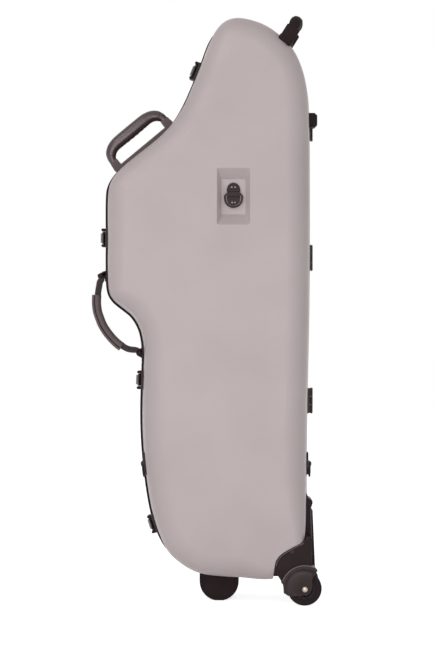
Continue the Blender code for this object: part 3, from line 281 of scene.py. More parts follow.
def soften(piece, width, segments=2, angle=38, clamp=False):
    """Rounds every edge that is sharper than an angle."""
    step = piece.modifiers.new("soften", "BEVEL")
    step.width = width
    step.segments = segments
    step.limit_method = "ANGLE"
    step.angle_limit = math.radians(angle)
    step.use_clamp_overlap = clamp
    apply_step(piece, step)
    return piece


def merge_near(piece, distance=0.15 * MM):
    take(piece)
    bpy.ops.object.mode_set(mode="EDIT")
    bpy.ops.mesh.select_all(action="SELECT")
    bpy.ops.mesh.remove_doubles(threshold=distance)
    bpy.ops.object.mode_set(mode="OBJECT")
    return piece


def join_to(piece, others):
    """Joins more pieces into one."""
    take(piece)
    for other in others:
        other.select_set(True)
    bpy.ops.object.join()
    return piece


def placed_copy(source, name, place):
    """A copy with its own mesh, moved there with its place in the mesh."""
    made = source.copy()
    made.data = source.data.copy()
    made.name = name
    made.data.name = name
    made.data.transform(place)
    bpy.context.scene.collection.objects.link(made)
    return made


def placing(first, second, third, origin):
    """A placing matrix from three directions and an origin."""
    rows = Matrix((first, second, third)).transposed().to_4x4()
    rows.translation = origin
    return rows


# %% [markdown]
# ## Finishes
#
# Four effects come back in several finishes: the fine grain of moulded plastic, slow blotches of
# wear and handling, edges painted pale, partly as rubbing and partly as a painted highlight, and a
# weave. Each is a node group that reads Object coordinates, so the pattern keeps its real size,
# and it puts out only a mask or a height. The shader itself and its plain values stay in each
# material.


# %% Start a node group and fill it
def start_group(name, inputs, outputs):
    """An empty node group with its sockets and its two ends."""
    group = bpy.data.node_groups.new(name, "ShaderNodeTree")
    sockets = group.interface
    for label, value in inputs:
        made = sockets.new_socket(label, in_out="INPUT", socket_type="NodeSocketFloat")
        made.default_value = value
    for label in outputs:
        sockets.new_socket(label, in_out="OUTPUT", socket_type="NodeSocketFloat")
    return group, group.nodes.new("NodeGroupInput"), group.nodes.new("NodeGroupOutput")


def noise(group, scale_socket, detail, rough=0.5):
    """A noise texture on Object coordinates, at the scale of a socket."""
    place = group.nodes.new("ShaderNodeTexCoord")
    texture = group.nodes.new("ShaderNodeTexNoise")
    texture.inputs["Detail"].default_value = detail
    texture.inputs["Roughness"].default_value = rough
    group.links.new(place.outputs["Object"], texture.inputs["Vector"])
    group.links.new(scale_socket, texture.inputs["Scale"])
    return texture.outputs["Fac"]


# %% Make the grain and the blotches
grain, grain_in, grain_out = start_group("moulded_grain", [("Scale", 900.0)], ["Height"])
fine = noise(grain, grain_in.outputs["Scale"], 3.0, 0.6)
grain.links.new(ranged(grain, fine, 0.3, 0.7), grain_out.inputs["Height"])

blotch, blotch_in, blotch_out = start_group("handling_blotches", [("Scale", 9.0)], ["Mask"])
slow = noise(blotch, blotch_in.outputs["Scale"], 4.0, 0.55)
blotch.links.new(ranged(blotch, slow, 0.32, 0.68), blotch_out.inputs["Mask"])

# %% Make the edges painted pale, for rubbing and as a painted highlight
# Painted highlight and rubbing: this mask finds convex edges with the Bevel node and breaks them
# up with noise, so that a finish can paint them paler. The pale line stands partly for rubbed
# edges and partly for the thin line of light that an edge catches.
rubbing_and_highlight, rubbing_and_highlight_in, rubbing_and_highlight_out = start_group(
    "rubbed_and_highlit_edges", [("Radius", 0.0008), ("Scale", 240.0)], ["Mask"])
rounded = rubbing_and_highlight.nodes.new("ShaderNodeBevel")
rounded.samples = 4
rubbing_and_highlight.links.new(rubbing_and_highlight_in.outputs["Radius"], rounded.inputs["Radius"])
surface = rubbing_and_highlight.nodes.new("ShaderNodeNewGeometry")
agree = rubbing_and_highlight.nodes.new("ShaderNodeVectorMath")
agree.operation = "DOT_PRODUCT"
rubbing_and_highlight.links.new(rounded.outputs["Normal"], agree.inputs[0])
rubbing_and_highlight.links.new(surface.outputs["Normal"], agree.inputs[1])
edge = ranged(rubbing_and_highlight, agree.outputs["Value"], 0.985, 0.86)
broken = ranged(rubbing_and_highlight, noise(rubbing_and_highlight, rubbing_and_highlight_in.outputs["Scale"], 3.0), 0.30, 0.52)
rubbing_and_highlight.links.new(combine(rubbing_and_highlight, "MULTIPLY", edge, broken), rubbing_and_highlight_out.inputs["Mask"])

# %% Make the weave
weave, weave_in, weave_out = start_group("tape_weave", [("Scale", 700.0)], ["Height"])
weave_place = weave.nodes.new("ShaderNodeTexCoord")
crossing = []
for direction in ("X", "Z"):
    wave = weave.nodes.new("ShaderNodeTexWave")
    wave.bands_direction = direction
    wave.inputs["Distortion"].default_value = 0.6
    weave.links.new(weave_place.outputs["Object"], wave.inputs["Vector"])
    weave.links.new(weave_in.outputs["Scale"], wave.inputs["Scale"])
    crossing.append(wave.outputs["Fac"])
weave.links.new(combine(weave, "MAXIMUM", *crossing), weave_out.inputs["Height"])
print("shared effects:", [group.name for group in bpy.data.node_groups])


# %% Build a finish from its values and effects
REFLECTION_TINT = (1.0, 0.87, 0.88)


def effect(tree, group, label, value):
    """One of the shared effects in a material, with one of its values set."""
    node = tree.nodes.new("ShaderNodeGroup")
    node.node_tree = group
    node.inputs[label].default_value = value
    return node.outputs[0]


def mix_colours(tree, factor, first, second):
    """Two colours mixed by a factor, each of them three numbers or a socket."""
    node = tree.nodes.new("ShaderNodeMix")
    node.data_type = "RGBA"
    tree.links.new(factor, node.inputs["Factor"])
    for label, value in (("A", first), ("B", second)):
        if isinstance(value, tuple):
            node.inputs[label].default_value = (*value, 1)
        else:
            tree.links.new(value, node.inputs[label])
    return node.outputs["Result"]


def finish(name, colour, handled, roughness, blotches=(9.0, 0.08), texture=(grain, 900.0, 0.02),
           metallic=0.0, pale_edges_rubbed_and_lit=None, sheen=0.0, specular=0.5):
    """A Principled finish, with blotches in its colour and gloss, a fine texture, and paler edges
    when asked, partly rubbing and partly a painted highlight.
    """
    made = bpy.data.materials.new(name)
    made.use_nodes = True
    tree = made.node_tree
    shader = tree.nodes["Principled BSDF"].inputs
    shader["Metallic"].default_value = metallic
    shader["Sheen Weight"].default_value = sheen
    shader["Specular Tint"].default_value = (*REFLECTION_TINT, 1)
    shader["Specular IOR Level"].default_value = specular
    patches = effect(tree, blotch, "Scale", blotches[0])
    tone = mix_colours(tree, patches, colour, handled)
    # Painted highlight and rubbing: edges are mixed toward a paler colour, which stands partly for
    # rubbed edges and partly for the line of light along them.
    if pale_edges_rubbed_and_lit:
        tone = mix_colours(tree, effect(tree, rubbing_and_highlight, "Radius", pale_edges_rubbed_and_lit[0]), tone, pale_edges_rubbed_and_lit[1])
    rough = ranged(tree, patches, 0.0, 1.0, roughness - blotches[1], roughness + blotches[1])
    bump = tree.nodes.new("ShaderNodeBump")
    bump.inputs["Distance"].default_value = texture[2] * MM
    bump.inputs["Strength"].default_value = 1.0
    tree.links.new(effect(tree, texture[0], "Scale", texture[1]), bump.inputs["Height"])
    tree.links.new(tone, shader["Base Color"])
    tree.links.new(rough, shader["Roughness"])
    tree.links.new(bump.outputs["Normal"], shader["Normal"])
    return made


# %% Mix the finishes of this case
SHELL_TONE = (0.545, 0.470, 0.472)
SHELL_HANDLED = (0.520, 0.446, 0.450)
# Painted highlight and rubbing: the paler colour of the shells' edges stands partly for rubbed
# edges and partly for the thin line of light along the rim.
SHELL_EDGE_RUBBED_AND_LIT = (0.71, 0.62, 0.62)

near_plastic, far_plastic = [
    finish(name, SHELL_TONE, SHELL_HANDLED, 0.42, (7.0, 0.05), (grain, 420.0, 0.05),
           pale_edges_rubbed_and_lit=(0.0012, SHELL_EDGE_RUBBED_AND_LIT))
    for name in ("near_shell_plastic", "far_shell_plastic")]
# Painted highlight and rubbing: the black, fender and handle plastics paint their edges paler,
# partly as rubbed edges and partly as the lines of light along them.
black_plastic = finish(
    "black_plastic", (0.018, 0.010, 0.012), (0.028, 0.018, 0.020), 0.40, (22.0, 0.07),
    (grain, 1100.0, 0.06), pale_edges_rubbed_and_lit=(0.001, (0.14, 0.12, 0.118)), specular=0.10)
fender_plastic = finish(
    "fender_plastic", (0.020, 0.012, 0.013), (0.030, 0.020, 0.021), 0.34, (22.0, 0.07),
    (grain, 1100.0, 0.06), pale_edges_rubbed_and_lit=(0.001, (0.16, 0.13, 0.13)), specular=0.24)
# Painted highlight: the beads are coloured pale so that they show as the thin lines of light along
# the front cover, the bracket's edge and its arm.
pale_bead_highlight = finish(
    "pale_bead_highlight", (0.13, 0.10, 0.10), (0.17, 0.13, 0.13), 0.45, (30.0, 0.07))
handle_plastic = finish(
    "handle_plastic", (0.078, 0.055, 0.056), (0.100, 0.074, 0.075), 0.42, (30.0, 0.07),
    (grain, 900.0, 0.08), pale_edges_rubbed_and_lit=(0.001, (0.30, 0.25, 0.24)), specular=0.3)
black_rubber = finish(
    "black_rubber", (0.022, 0.013, 0.015), (0.032, 0.021, 0.023), 0.74, (30.0, 0.08),
    (grain, 1500.0, 0.08), specular=0.1)
grip_rubber = finish(
    "grip_rubber", (0.034, 0.021, 0.022), (0.048, 0.033, 0.034), 0.22, (26.0, 0.04),
    (grain, 1300.0, 0.05), specular=0.75)
wrap_rubber = finish(
    "wrap_rubber", (0.120, 0.093, 0.094), (0.148, 0.117, 0.118), 0.42, (26.0, 0.06),
    (grain, 1300.0, 0.07), specular=0.22)
tyre_rubber = finish(
    "tyre_rubber", (0.014, 0.008, 0.011), (0.030, 0.020, 0.023), 0.70, (45.0, 0.10),
    (grain, 1000.0, 0.15), specular=0.15)
strap_webbing = finish(
    "strap_webbing", (0.040, 0.027, 0.032), (0.058, 0.042, 0.046), 0.85, (60.0, 0.05),
    (weave, 190.0, 0.35), sheen=0.25)
black_metal = finish(
    "black_metal", (0.020, 0.012, 0.014), (0.032, 0.021, 0.023), 0.38, (40.0, 0.08),
    (grain, 1600.0, 0.03), pale_edges_rubbed_and_lit=(0.0009, (0.30, 0.27, 0.26)), specular=0.2)
bright_steel = finish(
    "bright_steel", (0.46, 0.40, 0.34), (0.32, 0.27, 0.22), 0.32, (120.0, 0.08),
    (grain, 2600.0, 0.02), metallic=1.0)
foam_pile = finish(
    "foam_pile", (0.016, 0.014, 0.016), (0.030, 0.027, 0.030), 0.92, (14.0, 0.04),
    (grain, 1400.0, 0.5), sheen=0.5, specular=0.2)
print("finishes:", len(bpy.data.materials))


# %% Dress a piece
def dress(piece, body, material, slot, *nodes, angle=35):
    """Gives a piece its finish, its body and the solids that it stands for; the slot argument is
    not used.
    """
    take(piece)
    piece.data.materials.clear()
    piece.data.materials.append(material)
    bpy.ops.object.shade_smooth_by_angle(angle=math.radians(angle))
    if nodes:
        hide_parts(*nodes)
    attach(piece, body)
    print(f"{piece.name}: {len(piece.data.polygons)} faces on {body}")
    return piece


# %% [markdown]
# ## The outline of the shells
#
# Both shells have the same outline, the shape of the saxophone inside. It is kept as a table of
# shares of the width and height, clockwise from the top, with the softness of the edge and the
# stand-out of the seal at each point. A smooth curve through the table gives as many points as a
# piece needs, which is easier to correct than a mesh pushed about by hand.

# %% Measure the shells
SHELL_WIDTH = 404 * MM
SHELL_HEIGHT = 1103 * MM
SHELL_LEFT = -194.5 * MM
SHELL_BOTTOM = 41 * MM
SHELL_RIGHT = SHELL_LEFT + SHELL_WIDTH
NEAR_DEPTH = 155 * MM
FAR_DEPTH = 95 * MM
SEAM_Y = 30 * MM
WALL = 4 * MM
EDGE_ROUND = 42 * MM
DRAFT = math.tan(math.radians(4))
shell_sizes = (SHELL_WIDTH, NEAR_DEPTH + FAR_DEPTH, SHELL_HEIGHT)
print("shells in mm:", [round(v / MM, 1) for v in shell_sizes])

# %% Write down the outline
TOP_AND_RIGHT = (
    (0.640, 0.999, 1.00, 0.3), (0.759, 0.989, 1.00, 0.0), (0.853, 0.967, 1.00, 0.0),
    (0.929, 0.936, 1.00, 0.0), (0.979, 0.890, 1.00, 0.0), (0.997, 0.833, 1.00, 0.0),
    (1.000, 0.706, 1.00, 0.0), (1.000, 0.543, 1.00, 0.0), (0.996, 0.434, 1.00, 0.0),
    (0.989, 0.316, 1.00, 0.0), (0.986, 0.189, 1.00, 0.0),
)
LOW_CORNER = (
    (0.984, 0.100, 0.60, 0.0), (0.966, 0.050, 0.35, 0.0), (0.905, 0.018, 0.35, 0.0),
    (0.800, 0.000, 0.60, 0.3),
)
INNER_CORNER = (
    (0.952, 0.101, 0.90, 0.0), (0.880, 0.073, 0.90, 0.0), (0.820, 0.050, 0.90, 0.0),
    (0.759, 0.028, 0.90, 0.0),
)
BOTTOM_AND_LEFT = (
    (0.655, 0.002, 1.00, 0.5), (0.531, 0.005, 1.00, 0.5), (0.432, 0.012, 1.00, 0.5),
    (0.348, 0.030, 1.00, 0.5), (0.283, 0.054, 1.00, 0.7), (0.236, 0.094, 1.00, 1.0),
    (0.204, 0.144, 1.00, 1.0), (0.179, 0.217, 1.00, 1.0), (0.170, 0.289, 1.00, 1.0),
    (0.175, 0.362, 1.00, 1.0), (0.177, 0.407, 1.00, 1.0), (0.162, 0.442, 1.00, 1.0),
    (0.120, 0.469, 0.90, 1.0), (0.056, 0.488, 0.70, 1.0), (0.014, 0.505, 0.70, 1.0),
    (0.000, 0.534, 0.90, 1.0), (0.000, 0.607, 1.00, 1.0), (0.000, 0.679, 1.00, 1.0),
    (0.014, 0.707, 0.85, 1.0), (0.066, 0.732, 0.90, 1.0), (0.150, 0.758, 1.00, 0.7),
    (0.239, 0.784, 1.00, 0.5), (0.308, 0.810, 1.00, 0.5), (0.368, 0.844, 1.00, 0.5),
    (0.420, 0.886, 1.00, 0.5), (0.467, 0.929, 1.00, 0.5), (0.504, 0.964, 1.00, 0.5),
    (0.558, 0.989, 1.00, 0.3),
)
print("rows in the outline:", len(TOP_AND_RIGHT + LOW_CORNER + BOTTOM_AND_LEFT))


# %% Trace the outline
OUTLINE_STEPS = 2


def curve_row(rows, t):
    """One row on the cubic that passes through the two middle rows."""
    made = []
    for p, q, r, s in zip(*rows):
        slope = (r - p) / 2
        after = (s - q) / 2
        bend = 3 * (r - q) - 2 * slope - after
        made.append(q + slope * t + bend * t * t + (2 * (q - r) + slope + after) * t * t * t)
    return made


def smooth_through(points, steps, closed):
    """Points on a smooth curve through rows of numbers."""
    count = len(points)
    traced = []
    for index in range(count if closed else count - 1):
        places = [index + shift for shift in (-1, 0, 1, 2)]
        rows = [points[p % count if closed else min(max(p, 0), count - 1)] for p in places]
        traced += [curve_row(rows, step / steps) for step in range(steps)]
    return traced if closed else traced + [list(points[-1])]


def trace_outline(table):
    """Place, outward direction, softness and seal of each point of the outline."""
    rows = smooth_through(table, OUTLINE_STEPS, closed=True)
    places = [Vector((SHELL_LEFT + row[0] * SHELL_WIDTH, SHELL_BOTTOM + row[1] * SHELL_HEIGHT))
              for row in rows]
    samples = []
    for index, row in enumerate(rows):
        along = (places[(index + 1) % len(rows)] - places[index - 1]).normalized()
        samples.append((places[index], Vector((-along.y, along.x)), row[2], row[3]))
    return samples


OUTLINE = trace_outline(TOP_AND_RIGHT + LOW_CORNER + BOTTOM_AND_LEFT)
HOLLOW_OUTLINE = trace_outline(TOP_AND_RIGHT + INNER_CORNER + BOTTOM_AND_LEFT)
print("outline points:", len(OUTLINE), len(HOLLOW_OUTLINE))


# %% Draw a half shell
FINER = 4
LEAST_GAP = 0.02 * MM


def even_curve(points, steps):
    """A closed curve through points near and far apart, without loops between them."""
    count = len(points)
    traced = []
    for index in range(count):
        p = [Vector(points[(index + shift) % count]) for shift in (-1, 0, 1, 2)]
        gaps = [max((b - a).length, LEAST_GAP) ** 0.5 for a, b in zip(p, p[1:])]
        start = ((p[1] - p[0]) / gaps[0] - (p[2] - p[0]) / (gaps[0] + gaps[1])
                 + (p[2] - p[1]) / gaps[1]) * gaps[1]
        end = ((p[2] - p[1]) / gaps[1] - (p[3] - p[1]) / (gaps[1] + gaps[2])
               + (p[3] - p[2]) / gaps[2]) * gaps[1]
        for step in range(steps):
            t = step / steps
            traced.append(p[1] + start * t + (3 * (p[2] - p[1]) - 2 * start - end) * t * t
                          + (2 * (p[1] - p[2]) + start + end) * t * t * t)
    return traced


def shell_ring(outline, side, depths, insets, finer=FINER):
    """One ring: each point moved in from the outline and away from the seam, then made finer."""
    ring = []
    for (place, out, _, _), depth, inset in zip(outline, depths, insets):
        moved = place - out * inset
        ring.append((moved.x, SEAM_Y - side * depth, moved.y))
    return even_curve(ring, finer)


def half_rings(outline, side, rim, depth, shift, steps):
    """Rings of a half shell's surface set in by shift: a drafted side and a round edge."""
    count = len(outline)
    rings = [shell_ring(outline, side, [rim] * count, [shift + DRAFT * rim] * count)]
    for step in range(steps + 1):
        turn = math.pi / 2 * step / steps
        depths, insets = [], []
        for _, _, soft, _ in outline:
            radius = EDGE_ROUND * soft - shift
            start = depth - shift - radius
            depths.append(start + radius * math.sin(turn))
            insets.append(shift + DRAFT * start + radius * (1 - math.cos(turn)))
        rings.append(shell_ring(outline, side, depths, insets))
    return rings


# %% [markdown]
# ## The notch and the recess
#
# Two shapes are taken out of the shells. The wheels sit in a notch in the low right corner, cut
# by a tool drawn along its own edge. The strap ring in the near face hangs in a tapered recess,
# which is a block whose floor is drawn in and whose edges are rounded, as the mould's would be.

# %% Make the two cutting tools
NOTCH_PLACE = (SHELL_RIGHT - 77.7 * MM, SHELL_BOTTOM + 17 * MM)
NOTCH_SIZE = (65.7 * MM, 75 * MM)
NOTCH_EDGE = ((0.000, 0.000), (0.047, 0.290), (0.108, 0.438), (0.254, 0.578), (0.553, 0.736),
              (0.851, 0.867), (1.000, 1.000))
NOTCH_SPARE = 14 * MM
NOTCH_STEPS = 4
RECESS_CENTRE = (SHELL_LEFT + 0.6188 * SHELL_WIDTH, SHELL_BOTTOM + 0.6763 * SHELL_HEIGHT)
RECESS_FACE = (63 * MM, 109 * MM)
RECESS_FLOOR = (47 * MM, 67 * MM)
RECESS_DEPTH = 20 * MM
RECESS_REACH = 12 * MM
FACE_Y = SEAM_Y - NEAR_DEPTH
NOTCH_REACH = (FACE_Y - 20 * MM, 150 * MM)
print("recess centre in mm:", [round(v / MM, 1) for v in RECESS_CENTRE])


def on_notch(share, inset=0.0):
    """A point of the notch's edge from its shares, moved into the notch by inset."""
    return (NOTCH_PLACE[0] + share[0] * NOTCH_SIZE[0] + inset,
            NOTCH_PLACE[1] + share[1] * NOTCH_SIZE[1] - inset)


def notch_tool(name):
    """A block over the low right corner, with the notch's edge on one side."""
    points = [on_notch(share) for share in NOTCH_EDGE]
    edge = smooth_through(points, NOTCH_STEPS, closed=False)
    right, low = SHELL_RIGHT + NOTCH_SPARE, SHELL_BOTTOM - NOTCH_SPARE
    outline = [tuple(p) for p in edge] + [(right, edge[-1][1]), (right, low), (edge[0][0], low)]
    rings = [[Vector((x, y, z)) for x, z in outline] for y in NOTCH_REACH]
    return skin_through(name, rings)


def recess_tool(name, spare, rounding, reach=RECESS_REACH):
    """A tapered block over the recess, grown by spare, with its long corners rounded."""
    deep = RECESS_DEPTH + spare
    deselect_all()
    bpy.ops.mesh.primitive_cube_add(size=1, enter_editmode=True)
    piece = name_piece(name)
    shape = bmesh.from_edit_mesh(piece.data)
    for vert in shape.verts:
        out = reach if vert.co.y < 0 else -deep
        half = []
        for face, floor_size in zip(RECESS_FACE, RECESS_FLOOR):
            taper = (face - floor_size) / 2 / RECESS_DEPTH
            half.append(face / 2 + taper * out + spare * math.hypot(1, taper))
        vert.co = (math.copysign(half[0], vert.co.x) + RECESS_CENTRE[0], FACE_Y - out,
                   math.copysign(half[1], vert.co.z) + RECESS_CENTRE[1])
    bmesh.update_edit_mesh(piece.data)
    if rounding:
        bpy.ops.mesh.select_mode(type="EDGE")
        bpy.ops.mesh.select_all(action="DESELECT")
        shape = bmesh.from_edit_mesh(piece.data)
        for edge in shape.edges:
            run = (edge.verts[0].co - edge.verts[1].co).normalized()
            edge.select_set(abs(run.y) > 0.5)
        bmesh.update_edit_mesh(piece.data)
        bpy.ops.mesh.bevel(offset=rounding, segments=5)
    bpy.ops.object.mode_set(mode="OBJECT")
    return piece


# %% [markdown]
# ## The two shells
#
# Each shell is one deep moulding with a wall of four millimetres. It could be a thin skin with a
# Solidify modifier, but the wall behind the recess and round the notch has to follow its own
# line. So one skin is drawn from the inner floor out to the rim and back over the outside, then
# the backing of the recess is added and the recess and the notch are cut. Then every sharp edge
# gets the small round that catches a line of light in the photograph. The cuts leave the broad
# face with corners a hair off its level and a fold in its edge, which would show as a dark line,
# so the face is levelled, its folds are closed, and it is cut into even triangles.

# %% Level the broad face
LEVEL_SLACK = 0.1 * MM
FLAT_ENOUGH = 0.99999
FOLD_LENGTH = 1.5 * MM
FOLD_TURN = math.radians(165)


def level_face(piece, shape, level):
    """Puts the corners of the broad face exactly level, and selects the face."""
    corners = [vert for vert in shape.verts
               if abs(vert.co.y) > abs(level) - LEVEL_SLACK / 2 and vert.co.y * level > 0]
    worst = max(abs(vert.co.y - level) for vert in corners)
    print(f"{piece.name}: {len(corners)} corners levelled, most off by {worst / MM:.3f} mm")
    for vert in corners:
        vert.co.y = level
    shape.normal_update()
    for face in shape.faces:
        near = abs(face.calc_center_median().y - level) < LEVEL_SLACK
        face.select_set(near and abs(face.normal.y) > FLAT_ENOUGH)


def close_folds(piece, shape):
    """Welds shut each short fold in the edge of the selected faces."""
    folds = {}
    for face in [face for face in shape.faces if face.select]:
        for corner in face.loops:
            back, tip = corner.link_loop_prev.vert, corner.vert
            leg, on = tip.co - back.co, corner.link_loop_next.vert.co - tip.co
            if 0 < leg.length < FOLD_LENGTH and leg.angle(on, 0) > FOLD_TURN:
                folds[tip] = back
    bmesh.ops.weld_verts(shape, targetmap=folds)
    print(f"{piece.name}: {len(folds)} folds closed")


def keep_face_flat(piece, level):
    """Cuts the broad face into even triangles inside a sharp edge, so that it shades flat."""
    take(piece)
    bpy.ops.object.mode_set(mode="EDIT")
    bpy.ops.mesh.select_mode(type="FACE")
    bpy.ops.mesh.select_all(action="DESELECT")
    shape = bmesh.from_edit_mesh(piece.data)
    level_face(piece, shape, level)
    close_folds(piece, shape)
    bmesh.update_edit_mesh(piece.data)
    bpy.ops.mesh.quads_convert_to_tris(quad_method="BEAUTY", ngon_method="BEAUTY")
    bpy.ops.mesh.region_to_loop()
    bpy.ops.mesh.mark_sharp()
    bpy.ops.object.mode_set(mode="OBJECT")
    return piece


# %% Mould the shells
RIM = 4.45 * MM
SEAM_GAP = 0.15 * MM
INNER_ARC, OUTER_ARC = 6, 12
BACKING_REACH = -1 * MM
RECESS_ROUND = 2.2 * MM
SHELL_ROUND = 1.1 * MM


def mould_shell(name, side, rim, depth):
    """One shell: its skin, the recess on the near side, the notch, and soft edges."""
    inner = half_rings(HOLLOW_OUTLINE, side, rim, depth, WALL, INNER_ARC)
    outer = half_rings(OUTLINE, side, rim, depth, 0, OUTER_ARC)
    shell = skin_through(name, inner[::-1] + outer)
    if side > 0:
        carve(shell, recess_tool("recess_backing", WALL, 0, BACKING_REACH), "UNION")
        carve(shell, recess_tool("recess_cut", 0, RECESS_ROUND))
    carve(shell, notch_tool("notch_cut"))
    merge_near(shell)
    soften(shell, SHELL_ROUND, angle=50)
    return keep_face_flat(shell, SEAM_Y - side * depth)


near_shell = mould_shell("near_shell", 1, RIM, NEAR_DEPTH)
dress(near_shell, "root", near_plastic, "near_shell_plastic", "base_shell", angle=32)
far_shell = mould_shell("far_shell", -1, SEAM_GAP, FAR_DEPTH)
dress(far_shell, "lid", far_plastic, "far_shell_plastic", "lid_shell", angle=32)

# %% [markdown]
# ## The seal in the seam
#
# A black rubber profile fills the seam. On the latch side it stands out as a thin dark bead. It
# is drawn round the same outline as a closed ring, from the inner wall out to a round nose, and
# the notch is cut out of it.

# %% Draw the seal
SEAL_DEPTH = 4 * MM
SEAL_PROUD = 4.3 * MM
SEAL_NOSE = ((0.0, 1.1), (0.14, 0.42), (0.36, 0.06), (0.64, 0.06), (0.86, 0.42), (1.0, 1.1))

points = len(OUTLINE)
seal_rings = []
for depth in (SEAM_GAP + SEAL_DEPTH, SEAM_GAP):
    insets = [WALL + DRAFT * depth] * points
    seal_rings.append(shell_ring(HOLLOW_OUTLINE, 1, [depth] * points, insets))
for share, back in SEAL_NOSE:
    depth = SEAM_GAP + SEAL_DEPTH * share
    insets = [DRAFT * depth + back * MM - SEAL_PROUD * sample[3] for sample in OUTLINE]
    seal_rings.append(shell_ring(OUTLINE, 1, [depth] * points, insets))
seam_gasket = skin_through("seam_gasket", seal_rings, closed=True)
carve(seam_gasket, notch_tool("gasket_notch"))
dress(seam_gasket, "root", black_rubber, "black_rubber", "seam_seal")

# %% [markdown]
# ## Grips of the two rigid handles
#
# Both handles are a black moulded base with a soft rubber grip over an arched core. The grip
# swells from its sockets to the middle, carries two fine ridges along its outer side, and has
# small ribs on the inside, where the fingers close. It is drawn through many stations along its
# arch, and each station's ring is pushed in or out to give the ridges, the ribs and the plain
# cuffs at both ends.

# %% Draw the grips
GRIP_RADIUS = 13.2 * MM
GRIP_ROWS = ((0.861, 0.425, 0.64), (0.838, 0.520, 0.72), (0.775, 0.633, 0.81),
             (0.675, 0.720, 0.87), (0.554, 0.765, 0.92), (0.405, 0.778, 0.97),
             (0.000, 0.776, 1.00))
SOCKET_TOP = 21.3 * MM
GRAB_SIZE = (149 * MM, 58.5 * MM)
PULL_SIZE = (134 * MM, 53 * MM)
GRIP_SIDES = 28
GRIP_STEPS = 9
CUFF, CUFF_END = 11 * MM, 3 * MM
CUFF_DRAW_IN = 0.05
RIB_PITCH = 5.2 * MM
RIB_HEIGHT = 0.9 * MM
RIDGE_TURNS = (0.78 * math.pi, 1.22 * math.pi)
RIDGE_SPREAD = 0.16
RIDGE_HEIGHT = 0.5 * MM


def grip_rows(length, rise):
    """Place and size of each station of a grip, from one socket over to the other."""
    half = [(a * length / 2, b * rise, size) for a, b, size in GRIP_ROWS]
    half = [(half[0][0], SOCKET_TOP, half[0][2])] + half
    other = [(-a, b, size) for a, b, size in reversed(half[:-1])]
    return smooth_through(half + other, GRIP_STEPS, closed=False)


def grip_size(base, soft, rib, turn):
    """Radius of a grip at one turn of its ring, with its ridges outside and ribs inside."""
    inner = max(0.0, math.cos(turn)) ** 1.5
    ridge = sum(max(0.0, 1 - abs((turn - middle) / RIDGE_SPREAD)) for middle in RIDGE_TURNS)
    relief = RIDGE_HEIGHT * ridge - RIB_HEIGHT * inner * (1 - rib)
    return base * (1 - CUFF_DRAW_IN * (1 - soft)) + soft * relief


def draw_grip(name, place, length, rise):
    """Draws a grip along its arch, in the directions of a placing matrix."""
    rows = grip_rows(length, rise)
    path = [Vector((a, b, 0)) for a, b, _ in rows]
    walked = [0.0]
    for before, point in zip(path, path[1:]):
        walked.append(walked[-1] + (point - before).length)
    rings = []
    for index, point in enumerate(path):
        out = Vector((0, 0, 1)).cross(heading(path, index))
        from_end = min(walked[index], walked[-1] - walked[index])
        soft = min(1.0, max(0.0, (from_end - CUFF) / CUFF_END))
        rib = 0.5 - 0.5 * math.cos(2 * math.pi * walked[index] / RIB_PITCH)
        ring = []
        for side in range(GRIP_SIDES):
            turn = 2 * math.pi * side / GRIP_SIDES
            size = grip_size(GRIP_RADIUS * rows[index][2], soft, rib, turn)
            across = out * (math.cos(turn) * size) + Vector((0, 0, math.sin(turn) * size))
            ring.append(place @ (point + across))
        rings.append(ring)
    return skin_through(name, rings)


GRAB_PLACE = placing((0.76999, 0, 0.63806), (-0.63806, 0, 0.76999), (0, -1, 0),
                     (-0.11604, -0.03, 0.88571))
PULL_PLACE = placing((-0.03706, -0.99756, -0.0591), (0.52996, -0.06976, 0.84515),
                     (-0.84721, 0, 0.53125), (0.15673, -0.043, 1.0944))
grab_rubber = draw_grip("grab_handle_rubber", GRAB_PLACE, *GRAB_SIZE)
dress(grab_rubber, "root", grip_rubber, "grip_rubber", "grab_handle_grip", angle=50)
pull_rubber = draw_grip("pull_handle_rubber", PULL_PLACE, *PULL_SIZE)
dress(pull_rubber, "root", black_rubber, "grip_rubber", "pull_handle_grip", angle=50)

# %% [markdown]
# ## The carry handle at the waist
#
# A folded tape runs from a lug on the bulge to a lug below it, and a padded wrap is closed round
# its middle. Both are drawn along one smooth line, the same as the frame's. The tape has a groove
# where its two halves are sewn, and the wrap has a seam one third in from its outer edge and
# square ends.

# %% Draw the tape
CARRY_LINE = (
    (-0.2044, 0.6328), (-0.2093, 0.6257), (-0.2106, 0.6193), (-0.2122, 0.6106), (-0.2134, 0.5997),
    (-0.2139, 0.583), (-0.2119, 0.5672), (-0.2074, 0.5536), (-0.2031, 0.5427), (-0.196, 0.5306),
    (-0.1856, 0.5171), (-0.1728, 0.5043), (-0.1601, 0.4956), (-0.15, 0.4915), (-0.1331, 0.4901),
)
CARRY_STEPS = 5
CARRY_Y = 15 * MM
CARRY_AXIS = Vector((0.447274, 0, -0.894397))
TAPE = (12.4 * MM, 17 * MM)
TAPE_ENDS = (0.78, 0.88, 0.96)
TAPE_SIDES = 72
WRAP = (18.5 * MM, 25 * MM)
WRAP_OUT = 2.3 * MM
WRAP_SPAN = (0.4985, 0.6015)
WRAP_BORE = (12.8 * MM, 17.4 * MM)
WRAP_SEAM = 0.34
WRAP_SIDES = 96
WRAP_FULLNESS = 2.7
WRAP_ROUND = 0.7 * MM
GROOVE = 2.4 * MM
GROOVE_SHARE = 0.13


